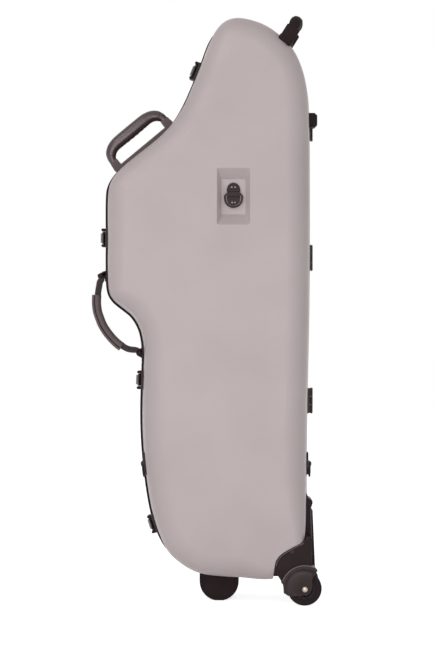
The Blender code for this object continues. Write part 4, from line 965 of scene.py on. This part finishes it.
def band_section(thickness, width, offset, grooves, sides=40, fullness=4.0):
    """A soft-cornered band with narrow grooves at given shares across its broad faces."""
    points = []
    for index in range(sides):
        turn = 2 * math.pi * (index + 0.5) / sides
        a, b = math.cos(turn), math.sin(turn)
        full = (abs(a) ** fullness + abs(b) ** fullness) ** (1 / fullness)
        u, v = a / full, b / full
        cut_in = sum(max(0.0, 1 - abs(u - groove) / GROOVE_SHARE) for groove in grooves)
        points.append((offset + u * thickness / 2, v * (width / 2 - GROOVE * cut_in * abs(v))))
    return points


def draw_band(name, path, section, ends=None, sizes=None):
    """Carries a section along a path, with a given direction at its ends and given sizes."""
    rings = []
    for index, point in enumerate(path):
        along = heading(path, index)
        if ends is not None and index in (0, len(path) - 1):
            along = ends
        out = along.cross(Vector((0, -1, 0)))
        size = (sizes or {}).get(index, 1.0)
        rings.append([point + out * (a * size) + Vector((0, -b, 0)) for a, b in section])
    return skin_through(name, rings)


carry_rows = smooth_through(CARRY_LINE, CARRY_STEPS, closed=False)
carry_path = [Vector((x, CARRY_Y, z)) for x, z in carry_rows]
tape_sizes = {}
for index, size in enumerate(TAPE_ENDS):
    tape_sizes[index] = tape_sizes[len(carry_path) - 1 - index] = size
tape_section = band_section(*TAPE, 0, (0.0,), TAPE_SIDES)
carry_tape = draw_band("carry_tape", carry_path, tape_section, CARRY_AXIS, tape_sizes)
dress(carry_tape, "carry_handle", strap_webbing, "strap_webbing", "carry_strap", angle=60)

# %% Close the wrap round the tape
wrap_path = [point for point in carry_path if WRAP_SPAN[0] < point.z < WRAP_SPAN[1]]
wrap_section = band_section(*WRAP, WRAP_OUT, (WRAP_SEAM,), WRAP_SIDES, WRAP_FULLNESS)
carry_wrap = draw_band("carry_wrap", wrap_path, wrap_section)
carve(carry_wrap, draw_band("wrap_bore", carry_path, band_section(*WRAP_BORE, 0, ())))
soften(carry_wrap, WRAP_ROUND, angle=60)
dress(carry_wrap, "carry_handle", wrap_rubber, "grip_rubber", "carry_sleeve", angle=50)

# %% [markdown]
# ## Wheels
#
# Each wheel is a rubber tyre on a moulded hub that turns on one steel axle. Round parts like
# these are a profile that is spun. The tyre gets a soft crown with two grooves. The hub gets six
# ribs, made by drawing some of its web's faces out between the boss and the rim, and a row of
# small pits in its rim, made by drawing every other face in.

# %% Spin the tyres and hubs
WHEEL_X = SHELL_RIGHT - 17.2 * MM
WHEEL_RADIUS = 33 * MM
WHEELS = (("front", 136 * MM), ("rear", 24 * MM))


def wheel_place(depth):
    """A placing matrix with its third axis along the axle, at a depth behind the seam."""
    return placing((1, 0, 0), (0, 0, 1), (0, -1, 0), (WHEEL_X, SEAM_Y - depth, WHEEL_RADIUS))


TYRE_PROFILE = [
    (21.0, -10), (27.0, -10), (30.2, -9.6), (31.9, -8.4), (32.7, -6.8), (33.0, -4.4), (33.0, -3.6),
    (32.3, -3.2), (32.3, -2.6), (33.0, -2.2), (33.0, 2.2), (32.3, 2.6), (32.3, 3.2), (33.0, 3.6),
    (33.0, 4.4), (32.7, 6.8), (31.9, 8.4), (30.2, 9.6), (27.0, 10), (21.0, 10),
]
HUB_PROFILE = [
    (4.3, -10.6), (4.8, -11), (7.4, -11), (8.0, -10.4), (8.3, -3.2), (9.2, -2.5), (14.3, -2.5),
    (15.2, -3.2), (15.5, -9.4), (16.1, -10), (20.1, -10), (20.7, -9.4), (20.7, 9.4), (20.1, 10),
    (16.1, 10), (15.5, 9.4), (15.2, 3.2), (14.3, 2.5), (9.2, 2.5), (8.3, 3.2), (8.0, 10.4),
    (7.4, 11), (4.8, 11), (4.3, 10.6),
]
TYRE_STEPS, HUB_STEPS, AXLE_STEPS = 72, 48, 32
HUB_RIBS = (9.3 * MM, 14.2 * MM, 8, 5.6 * MM)
HUB_PITS = (17 * MM, 19.5 * MM, 2, -3 * MM)


def in_metres(profile):
    """A profile written in millimetres, for the spin."""
    return [(radius * MM, along * MM) for radius, along in profile]


def draw_out(hub, centre, inner, outer, every, height):
    """Draws every few faces of a ring out of both sides of a hub, or into them."""
    take(hub)
    bpy.ops.object.mode_set(mode="EDIT")
    bpy.ops.mesh.select_mode(type="FACE")
    for side in (-1, 1):
        bpy.ops.mesh.select_all(action="DESELECT")
        shape = bmesh.from_edit_mesh(hub.data)
        for face in shape.faces:
            middle = face.calc_center_median() - centre
            reach = math.hypot(middle.x, middle.z)
            slot = (math.atan2(middle.z, middle.x) / (2 * math.pi) * HUB_STEPS - 0.5) % every
            on_ring = inner < reach < outer and face.normal.y * side > 0.9
            face.select_set(on_ring and (slot < 0.25 or slot > every - 0.25))
        bmesh.update_edit_mesh(hub.data)
        bpy.ops.mesh.extrude_region_move(TRANSFORM_OT_translate={"value": (0, side * height, 0)})
    bpy.ops.object.mode_set(mode="OBJECT")


for name, depth in WHEELS:
    place = wheel_place(depth)
    tread = turn_profile(name + "_tread", in_metres(TYRE_PROFILE), place, TYRE_STEPS)
    dress(tread, name + "_wheel", tyre_rubber, "tyre_rubber", name + "_tyre", angle=40)
    rim = turn_profile(name + "_wheel_hub", in_metres(HUB_PROFILE), place, HUB_STEPS)
    draw_out(rim, place.translation, *HUB_RIBS)
    draw_out(rim, place.translation, *HUB_PITS)
    dress(rim, name + "_wheel", black_plastic, "black_plastic", name + "_hub", angle=40)

# %% Spin the axle
HALF_TYRE = 10 * MM
CHEEK_GAP = 2.5 * MM
CHEEK = 3 * MM
HEAD_GAP = 0.3 * MM
AXLE_REACH = HALF_TYRE + CHEEK_GAP + CHEEK + HEAD_GAP
AXLE_ENDS = (WHEELS[1][1] - AXLE_REACH, WHEELS[0][1] + AXLE_REACH)
HEAD_PROFILES = (
    ((0.05, -5.0), (2.2, -5.0), (4.4, -4.6), (5.2, -3.8), (5.2, -0.1), (4.0, 0)),
    ((4.0, 0), (5.2, 0.1), (5.2, 3.8), (4.4, 4.6), (2.2, 5.0), (0.05, 5.0)),
)

axle_place = wheel_place(0)
axle_profile = []
for end, head in zip(AXLE_ENDS, HEAD_PROFILES):
    axle_profile += [(radius, end + along) for radius, along in in_metres(head)]
axle_bar = turn_profile("axle_bar", axle_profile, axle_place, AXLE_STEPS)
dress(axle_bar, "root", bright_steel, "bright_steel", "wheel_axle", angle=40)

# %% [markdown]
# ## The swell of the wheel covers
#
# Over each cheek the real cover swells towards the viewer, which gives it a soft arc of light.
# The swell is a skin through rings that follow the cheek's outline: the outermost lies on the
# cheek, and the next ones climb and draw in as a quarter circle does, up to a flat field round
# the axle.

# %% Swell the two wheel covers
COVERS = (("front", 151.5 * MM, -1), ("rear", 8.5 * MM, 1))
COVER_EDGE = (
    (-44.0, 13.4), (-41.1, 20.6), (-36.9, 27.4), (-31.6, 33.4), (-25.1, 38.5), (-18.0, 42.3),
    (-10.2, 44.8), (-2.0, 46.0), (6.0, 45.6), (13.0, 44.1), (19.4, 41.7), (24.6, 35.4),
    (15.8, 30.6), (14.2, 29.0), (14.2, 1.5), (10.7, -7.6), (3.5, -12.2), (-31.7, -13.0),
    (-40.5, -7.6), (-41.6, 6.1),
)
COVER_LIP = 1.4 * MM
COVER_FOOT = 38.5 * MM
COVER_FIELD = 28 * MM
COVER_SWELL = 3.6 * MM
COVER_FOOT_HEIGHT = 0.3 * MM
COVER_SLOPE = 0.4 * MM
COVER_SIDES = 72
COVER_STEPS = 8


def reach_of_edge(points, direction):
    """How far a ray from the origin runs before it leaves an outline."""
    for start, end in zip(points, points[1:] + points[:1]):
        side = end - start
        across = direction.x * side.y - direction.y * side.x
        if abs(across) > 1e-12:
            far = (start.x * side.y - start.y * side.x) / across
            share = (start.x * direction.y - start.y * direction.x) / across
            if far > 0 and -1e-9 <= share <= 1 + 1e-9:
                return far
    raise ValueError("the outline is open")


def swell_cover(name, level, outward):
    """The swell on one cheek, from its foot in the cheek up to the flat field."""
    edge = [Vector((x, z)) * MM for x, z in COVER_EDGE]
    reaches = []
    for step in range(COVER_SIDES):
        turn = 2 * math.pi * (step + 0.5) / COVER_SIDES
        direction = Vector((math.cos(turn), math.sin(turn)))
        reaches.append((direction, min(reach_of_edge(edge, direction) - COVER_LIP, COVER_FOOT)))
    rings = [[Vector((WHEEL_X + d.x * r, level, WHEEL_RADIUS + d.y * r)) for d, r in reaches]]
    for step in range(COVER_STEPS + 1):
        turn = math.pi / 2 * step / COVER_STEPS
        ring = []
        for direction, reach in reaches:
            field = min(reach - COVER_SLOPE, COVER_FIELD)
            out = reach - (reach - field) * (1 - math.cos(turn))
            height = COVER_FOOT_HEIGHT + COVER_SWELL * math.sin(turn)
            ring.append(Vector((WHEEL_X + direction.x * out, level + outward * height,
                                WHEEL_RADIUS + direction.y * out)))
        rings.append(ring)
    return skin_through(name, rings)


for name, depth, outward in COVERS:
    swell = swell_cover(name + "_cover_swell", SEAM_Y - depth, outward)
    dress(swell, "root", fender_plastic, "black_plastic", angle=50)

# %% [markdown]
# ## Thin beads and a seam
#
# A fine raised line, coloured pale as a painted highlight, stands for the line of light along the
# front cover, the bracket's edge and its arm, and a black bead lies in the seam down the wrap of
# the carry handle, as painted shade in its groove. Each is the same thin round bead, drawn
# along its own path, which is far less work than cutting a line out of every piece.


# %% Draw the beads on the cover, the bracket and the arm
BEAD_SIDES = 10
COVER_BEAD = 45.2 * MM
COVER_BEAD_START, COVER_BEAD_SWEEP = 160, 95
COVER_BEAD_STEPS = 24
COVER_BEAD_Y = -121.6 * MM
BRACKET_BEAD_Y = -118.2 * MM
BRACKET_BEAD_IN = 2.2 * MM
ARM_BEAD_Y = -62.2 * MM
ARM_LINE = ((0.2065, 0.186), (0.2072, 0.150), (0.2084, 0.085))


def draw_bead(name, path, radius):
    """A thin raised line along a path that lies level with a face."""
    rings = []
    for index, point in enumerate(path):
        side = heading(path, index).cross(Vector((0, 1, 0))).normalized()
        ring = []
        for step in range(BEAD_SIDES):
            turn = 2 * math.pi * step / BEAD_SIDES
            across = side * (math.cos(turn) * radius) + Vector((0, math.sin(turn) * radius, 0))
            ring.append(point + across)
        rings.append(ring)
    return skin_through(name, rings)


cover_line = []
for step in range(COVER_BEAD_STEPS + 1):
    turn = math.radians(COVER_BEAD_START - COVER_BEAD_SWEEP * step / COVER_BEAD_STEPS)
    cover_line.append(Vector((WHEEL_X + COVER_BEAD * math.cos(turn), COVER_BEAD_Y,
                              WHEEL_RADIUS + COVER_BEAD * math.sin(turn))))
notch_rows = [on_notch(share, BRACKET_BEAD_IN) for share in NOTCH_EDGE[1:-1]]
notch_curve = smooth_through(notch_rows, 5, closed=False)
notch_line = [Vector((x, BRACKET_BEAD_Y, z)) for x, z in notch_curve]
arm_line = [Vector((x, ARM_BEAD_Y, z)) for x, z in ARM_LINE]
# Painted highlight: each bead gets the pale bead colour, as a thin line of light.
for name, line, radius in (("cover_bead", cover_line, 1.1 * MM),
                           ("bracket_bead", notch_line, 1.0 * MM),
                           ("arm_bead", arm_line, 0.9 * MM)):
    dress(draw_bead(name, line, radius), "root", pale_bead_highlight, "black_plastic", angle=60)

# %% Lay the seam down the wrap, a black bead that also paints the shade in its groove
SEAM_RADIUS = 1.0 * MM
SEAM_OUT = WRAP_OUT + WRAP_SEAM * WRAP[0] / 2
SEAM_SHIFT = -0.485 * WRAP[1] + 1.2 * MM

seam_line = []
for index in range(1, len(wrap_path) - 1):
    out = heading(wrap_path, index).cross(Vector((0, -1, 0)))
    seam_line.append(wrap_path[index] + out * SEAM_OUT + Vector((0, SEAM_SHIFT, 0)))
# Painted shade: the black bead marks the seam and stands for the dark line of shade in the seam's
# groove.
wrap_seam_shade = draw_bead("wrap_seam_shade", seam_line, SEAM_RADIUS)
dress(wrap_seam_shade, "carry_handle", black_rubber, "grip_rubber", angle=60)

# %% [markdown]
# ## Foam inside
#
# The shells are lined with foam under short black pile, and two foam blocks cradle the
# instrument. The photograph doesn't show them, but they come into sight when the lid opens. They
# are drawn with the same helper as the shells, set in by the wall, and hollowed the same way,
# with broad soft edges.

# %% Line the shells
LINING = 12 * MM
SKIN = WALL + 0.6 * MM
FOAM_ARC = 5
FOAM_ROUND = 2.2 * MM
PAD_ROUND = 3.5 * MM


def line_shell(name, side, rim, depth):
    """The lining of one shell, which leaves room for the recess on the near side."""
    bay = half_rings(HOLLOW_OUTLINE, side, rim, depth, SKIN + LINING, FOAM_ARC)
    back = half_rings(HOLLOW_OUTLINE, side, rim, depth, SKIN, FOAM_ARC)
    lining = skin_through(name, bay[::-1] + back)
    if side > 0:
        pad = recess_tool("recess_pad", SKIN + LINING, 0, BACKING_REACH - SKIN)
        carve(lining, pad, "UNION")
        carve(lining, recess_tool("lining_clear", SKIN, 0))
    merge_near(lining)
    return soften(lining, FOAM_ROUND, segments=3, angle=50)


near_lining = line_shell("near_lining", 1, RIM, NEAR_DEPTH)
dress(near_lining, "root", foam_pile, "lining_foam", "base_lining", angle=60)
far_lining = line_shell("far_lining", -1, SEAM_GAP, FAR_DEPTH)
dress(far_lining, "lid", foam_pile, "lining_foam", "lid_lining", angle=60)


# %% Shape the two cradles
def rounded_form(node, name, width):
    """A piece with the solid's own form and rounder edges."""
    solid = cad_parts[node]
    take(solid)
    piece = placed_copy(solid, name, Matrix())
    piece.modifiers.clear()
    merge_near(piece, 0.02 * MM)
    step = piece.modifiers.new("flatten", "DECIMATE")
    step.decimate_type = "DISSOLVE"
    step.angle_limit = math.radians(2)
    apply_step(piece, step)
    return soften(piece, width, segments=4, angle=50, clamp=True)


for node in ("body_cradle", "bell_cradle"):
    pad = rounded_form(node, node + "_pad", PAD_ROUND)
    dress(pad, "root", foam_pile, "lining_foam", node, angle=60)

# %% [markdown]
# ## Metal and moulded fittings from the frame
#
# The hinges, latches, plates, rings, the grab handle's base, the carry handle's lugs, the foot
# and the wheel bracket have their true shape in the frame. They stay as they are, welded and
# given a small bevel by live modifiers, so that each edge catches a line of light, with the
# finish of coated steel or of moulded plastic. Most of these finishes also paint the edges paler,
# partly as rubbing and partly as a painted highlight.


# %% Finish the fittings that stay
FITTING_TURN = math.radians(40)


def choose_finish(name):
    """Finish and bevel of a fitting that stays as it is, or nothing for a redrawn piece."""
    if name == "hinge_bumper":
        return black_plastic, 1.2 * MM
    if name.endswith("_pin"):
        return bright_steel, 0.35 * MM
    if name.startswith(("hinge_", "latch_")) or name.endswith(("_plate", "_ring")):
        return black_metal, 0.35 * MM
    if name == "grab_handle_base":
        return handle_plastic, 1.0 * MM
    if name in ("carry_mount_upper", "carry_mount_lower", "wheel_bracket"):
        return black_plastic, 1.0 * MM
    if name.endswith("_fender"):
        return fender_plastic, 0.8 * MM
    if name == "rubber_foot":
        return black_rubber, 0.8 * MM
    if name == "bracket_screw":
        return black_metal, 0.4 * MM
    return None


def fit_out(name, material, width):
    """Gives a solid of the frame its finish, a weld and a small bevel."""
    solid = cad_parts[name]
    solid.data.materials.clear()
    solid.data.materials.append(material)
    weld = solid.modifiers.new("weld", "WELD")
    weld.merge_threshold = 0.01 * MM
    step = solid.modifiers.new("soft_edges", "BEVEL")
    step.width = width
    step.segments = 2
    step.limit_method = "ANGLE"
    step.angle_limit = FITTING_TURN
    step.use_clamp_overlap = True


kept = [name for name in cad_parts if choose_finish(name)]
for name in kept:
    fit_out(name, *choose_finish(name))
print("fittings kept from the frame:", len(kept))

# %% [markdown]
# ## Guards, webs, and what the rigid handles stand on
#
# From the front each latch shows as a dark, round-ended block. Two low walls beside the lever
# give it that outline and keep the lever from being knocked. They are one pair of softened
# blocks, copied to the four latches. The lugs of the carry handle have a web to the wall in the
# same way. The pull handle's foot is one long block with a socket at each end, made round enough
# that no flat side catches the light, and a strip joins the two feet of the grab handle.


# %% Block out a fixed form
def soft_bar(name, low, high, place, width, segments=4):
    """A block between two corners in a placing's own directions, with rounded edges."""
    deselect_all()
    bpy.ops.mesh.primitive_cube_add(size=1)
    piece = name_piece(name)
    for vert in piece.data.vertices:
        spot = [low[axis] if vert.co[axis] < 0 else high[axis] for axis in range(3)]
        vert.co = Vector(spot)
    soften(piece, width, segments)
    piece.data.transform(place)
    return piece


# %% Set two guards beside each latch lever
LATCHES = (
    ((-0.0998, 0.03, 0.147), (-0.95486, 0, -0.29707)),
    ((-0.12411, 0.03, 0.43102), (-0.99951, 0, 0.03135)),
    ((-0.19452, 0.03, 0.71295), (-1, 0, 0)),
    ((-0.01514, 0.03, 1.04197), (-0.92825, 0, 0.37195)),
)
GUARD_INNER, GUARD_OUTER = 12.9 * MM, 18.3 * MM
GUARD_NEAR, GUARD_FAR = 38 * MM, 8 * MM
GUARD_FOOT, GUARD_TOP = 1 * MM, 11.0 * MM
GUARD_ROUND = 2.6 * MM


def latch_place(origin, out):
    """The placing matrix of a latch, from its origin and its outward direction."""
    return placing((0, -1, 0), out, (-out[2], 0, out[0]), origin)


walls = []
for inner, outer in ((GUARD_INNER, GUARD_OUTER), (-GUARD_OUTER, -GUARD_INNER)):
    walls.append(soft_bar("guard_pair", (GUARD_FAR, GUARD_FOOT, inner),
                          (GUARD_NEAR, GUARD_TOP, outer), Matrix(), GUARD_ROUND))
guard_pair = join_to(walls[0], walls[1:])
for number, (origin, out) in enumerate(LATCHES, 1):
    guards = placed_copy(guard_pair, f"latch_{number}_guards", latch_place(origin, out))
    dress(guards, "root", black_plastic, "black_plastic", angle=50)
bpy.data.objects.remove(guard_pair)

# %% Web the lugs of the carry handle
LUG_WEBS = (
    ("upper_lug_web", ((-205.6, 645.8), (-195.2, 648.6), (-195.6, 624.5), (-199.2, 626.5),
                       (-199.8, 634.0), (-204.8, 636.0))),
    ("lower_lug_web", ((-133.0, 492.0), (-122.6, 496.0), (-122.2, 472.5), (-130.5, 476.6),
                       (-135.6, 479.5), (-136.8, 484.0))),
)
WEB_SPAN = (9.5 * MM, 20.5 * MM)
WEB_ROUND = 1.4 * MM

for name, outline in LUG_WEBS:
    web = skin_through(name, [[Vector((x * MM, y, z * MM)) for x, z in outline] for y in WEB_SPAN])
    soften(web, WEB_ROUND, segments=3)
    dress(web, "root", black_plastic, "black_plastic", angle=50)

# %% Build the pull handle's foot and lay the grab handle's strip
PULL_FOOT = ((-67 * MM, -7 * MM, -15.5 * MM), (67 * MM, 8 * MM, 13 * MM))
SOCKET_LOW, SOCKET_HIGH = (-9 * MM, 0, -16 * MM), (9 * MM, 30 * MM, 11.5 * MM)
SOCKET_ENDS = (-57 * MM, 57 * MM)
FOOT_ROUND, SOCKET_ROUND, STRIP_ROUND = 5 * MM, 4 * MM, 1.6 * MM
GRAB_STRIP = ((-58 * MM, 1 * MM, -12.5 * MM), (58 * MM, 8.2 * MM, 12.5 * MM))

sockets = []
pull_foot = soft_bar("pull_handle_foot", *PULL_FOOT, PULL_PLACE, FOOT_ROUND)
for end in SOCKET_ENDS:
    low, high = [(end + corner[0], *corner[1:]) for corner in (SOCKET_LOW, SOCKET_HIGH)]
    sockets.append(soft_bar("pull_socket", low, high, PULL_PLACE, SOCKET_ROUND))
join_to(pull_foot, sockets)
dress(pull_foot, "root", black_rubber, "black_plastic", "pull_handle_base", angle=50)
grab_strip = soft_bar("grab_strip", *GRAB_STRIP, GRAB_PLACE, STRIP_ROUND)
dress(grab_strip, "root", handle_plastic, "black_plastic", angle=50)

# %% [markdown]
# ## Screws and rivets
#
# A countersunk cross-head screw is modelled once: a low cylinder with a domed top and a cross cut
# into it. A copy goes on every leaf and plate, set down by a ray cast onto the fitting, so that
# it sits on the surface whatever its slope.

# %% Model one screw
SCREW_RADIUS = 2.1 * MM
SCREW_HEIGHT = 1.1 * MM
SCREW_ROUND = 0.35 * MM
SLOT_LENGTH, SLOT_WIDTH = 1.25 * SCREW_RADIUS, 0.26 * SCREW_RADIUS


def model_screw():
    """A domed round head with a cross cut into its top."""
    deselect_all()
    bpy.ops.mesh.primitive_cylinder_add(vertices=24, radius=1, depth=1)
    head = name_piece("screw_model")
    head.data.transform(Matrix.Diagonal((SCREW_RADIUS, SCREW_RADIUS, SCREW_HEIGHT, 1)))
    soften(head, SCREW_ROUND, segments=3)
    raised = Matrix.Translation((0, 0, SCREW_HEIGHT / 2))
    for turn in (0, math.pi / 2):
        bpy.ops.mesh.primitive_cube_add(size=1)
        slot = name_piece("slot")
        slot.data.transform(Matrix.Rotation(turn, 4, "Z") @ raised
                            @ Matrix.Diagonal((SLOT_LENGTH, SLOT_WIDTH, SCREW_HEIGHT, 1)))
        carve(head, slot)
    return head


screw_model = model_screw()
print("screw model:", len(screw_model.data.polygons), "faces")

# %% Set the copies down
SCREW_START = 30 * MM
screws = []


def set_screw(node, body, point, out, material, size=1.0):
    """Drops a screw against a fitting from outside, along its outward direction."""
    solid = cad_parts[node]
    inverse = solid.matrix_world.inverted()
    out = Vector(out).normalized()
    start = Vector(point) + out * SCREW_START
    hit, spot, _, _ = solid.ray_cast(inverse @ start, inverse.to_3x3() @ -out)
    if not hit:
        raise ValueError(f"no fitting under the screw at {point} on {node}")
    facing = out.to_track_quat("Z", "X").to_matrix().to_4x4()
    seat = Matrix.Translation(solid.matrix_world @ spot) @ facing @ Matrix.Scale(size, 4)
    screws.append(placed_copy(screw_model, f"screw_{len(screws) + 1:02d}", seat))
    slot = "bright_steel" if material is bright_steel else "black_metal"
    dress(screws[-1], body, material, slot, angle=40)


HINGES = (0.389, 0.67401, 0.933)
HINGE_X = 0.21
LEAVES = (("base_leaf", "root", 0.014), ("lid_leaf", "lid", 0.046))
LEAF_RISES = (-0.017, 0, 0.017)
KEEPER_SPOTS = (Vector((-0.0245, 0, -0.0105)), Vector((-0.0245, 0, 0.0105)))

for number, height in enumerate(HINGES, 1):
    for leaf, body, y in LEAVES:
        for rise in LEAF_RISES:
            set_screw(f"hinge_{number}_{leaf}", body, (HINGE_X, y, height + rise), (1, 0, 0),
                      black_metal)
for number, (origin, out) in enumerate(LATCHES, 1):
    for keeper_spot in KEEPER_SPOTS:
        spot = latch_place(origin, out) @ keeper_spot
        set_screw(f"latch_{number}_keeper", "lid", spot, out, black_metal)

# %% Rivet the strap plates and the lugs
RECESS_RIVETS = ((0.0521, 0.8054), (0.0589, 0.8054), (0.0529, 0.776), (0.0581, 0.776))
RECESS_RIVET_SIZE = 0.62
RECESS_RIVET_Y = -0.105
PLATES = (
    ("left_strap_plate", (-0.12086, -0.032, 0.268), (-0.99524, 0, -0.09748), 0.0165, black_metal),
    ("right_strap_plate", (0.20397, -0.032, 0.268), (0.99999, 0, -0.00536), 0.0165, black_metal),
    ("carry_mount_upper", (-0.19458, 0.0145, 0.63794), (-1, 0, 0), 0.0185, bright_steel),
    ("carry_mount_lower", (-0.12297, 0.0145, 0.48496), (-1, 0, 0), 0.0185, bright_steel),
)

for x, z in RECESS_RIVETS:
    set_screw("recess_strap_plate", "root", (x, RECESS_RIVET_Y, z), (0, -1, 0), bright_steel,
              RECESS_RIVET_SIZE)
for node, (x, y, z), out, rise, material in PLATES:
    for height in (z - rise, z + rise):
        set_screw(node, "root", (x, y, height), out, material)
bpy.data.objects.remove(screw_model)
print("screws:", len(screws))
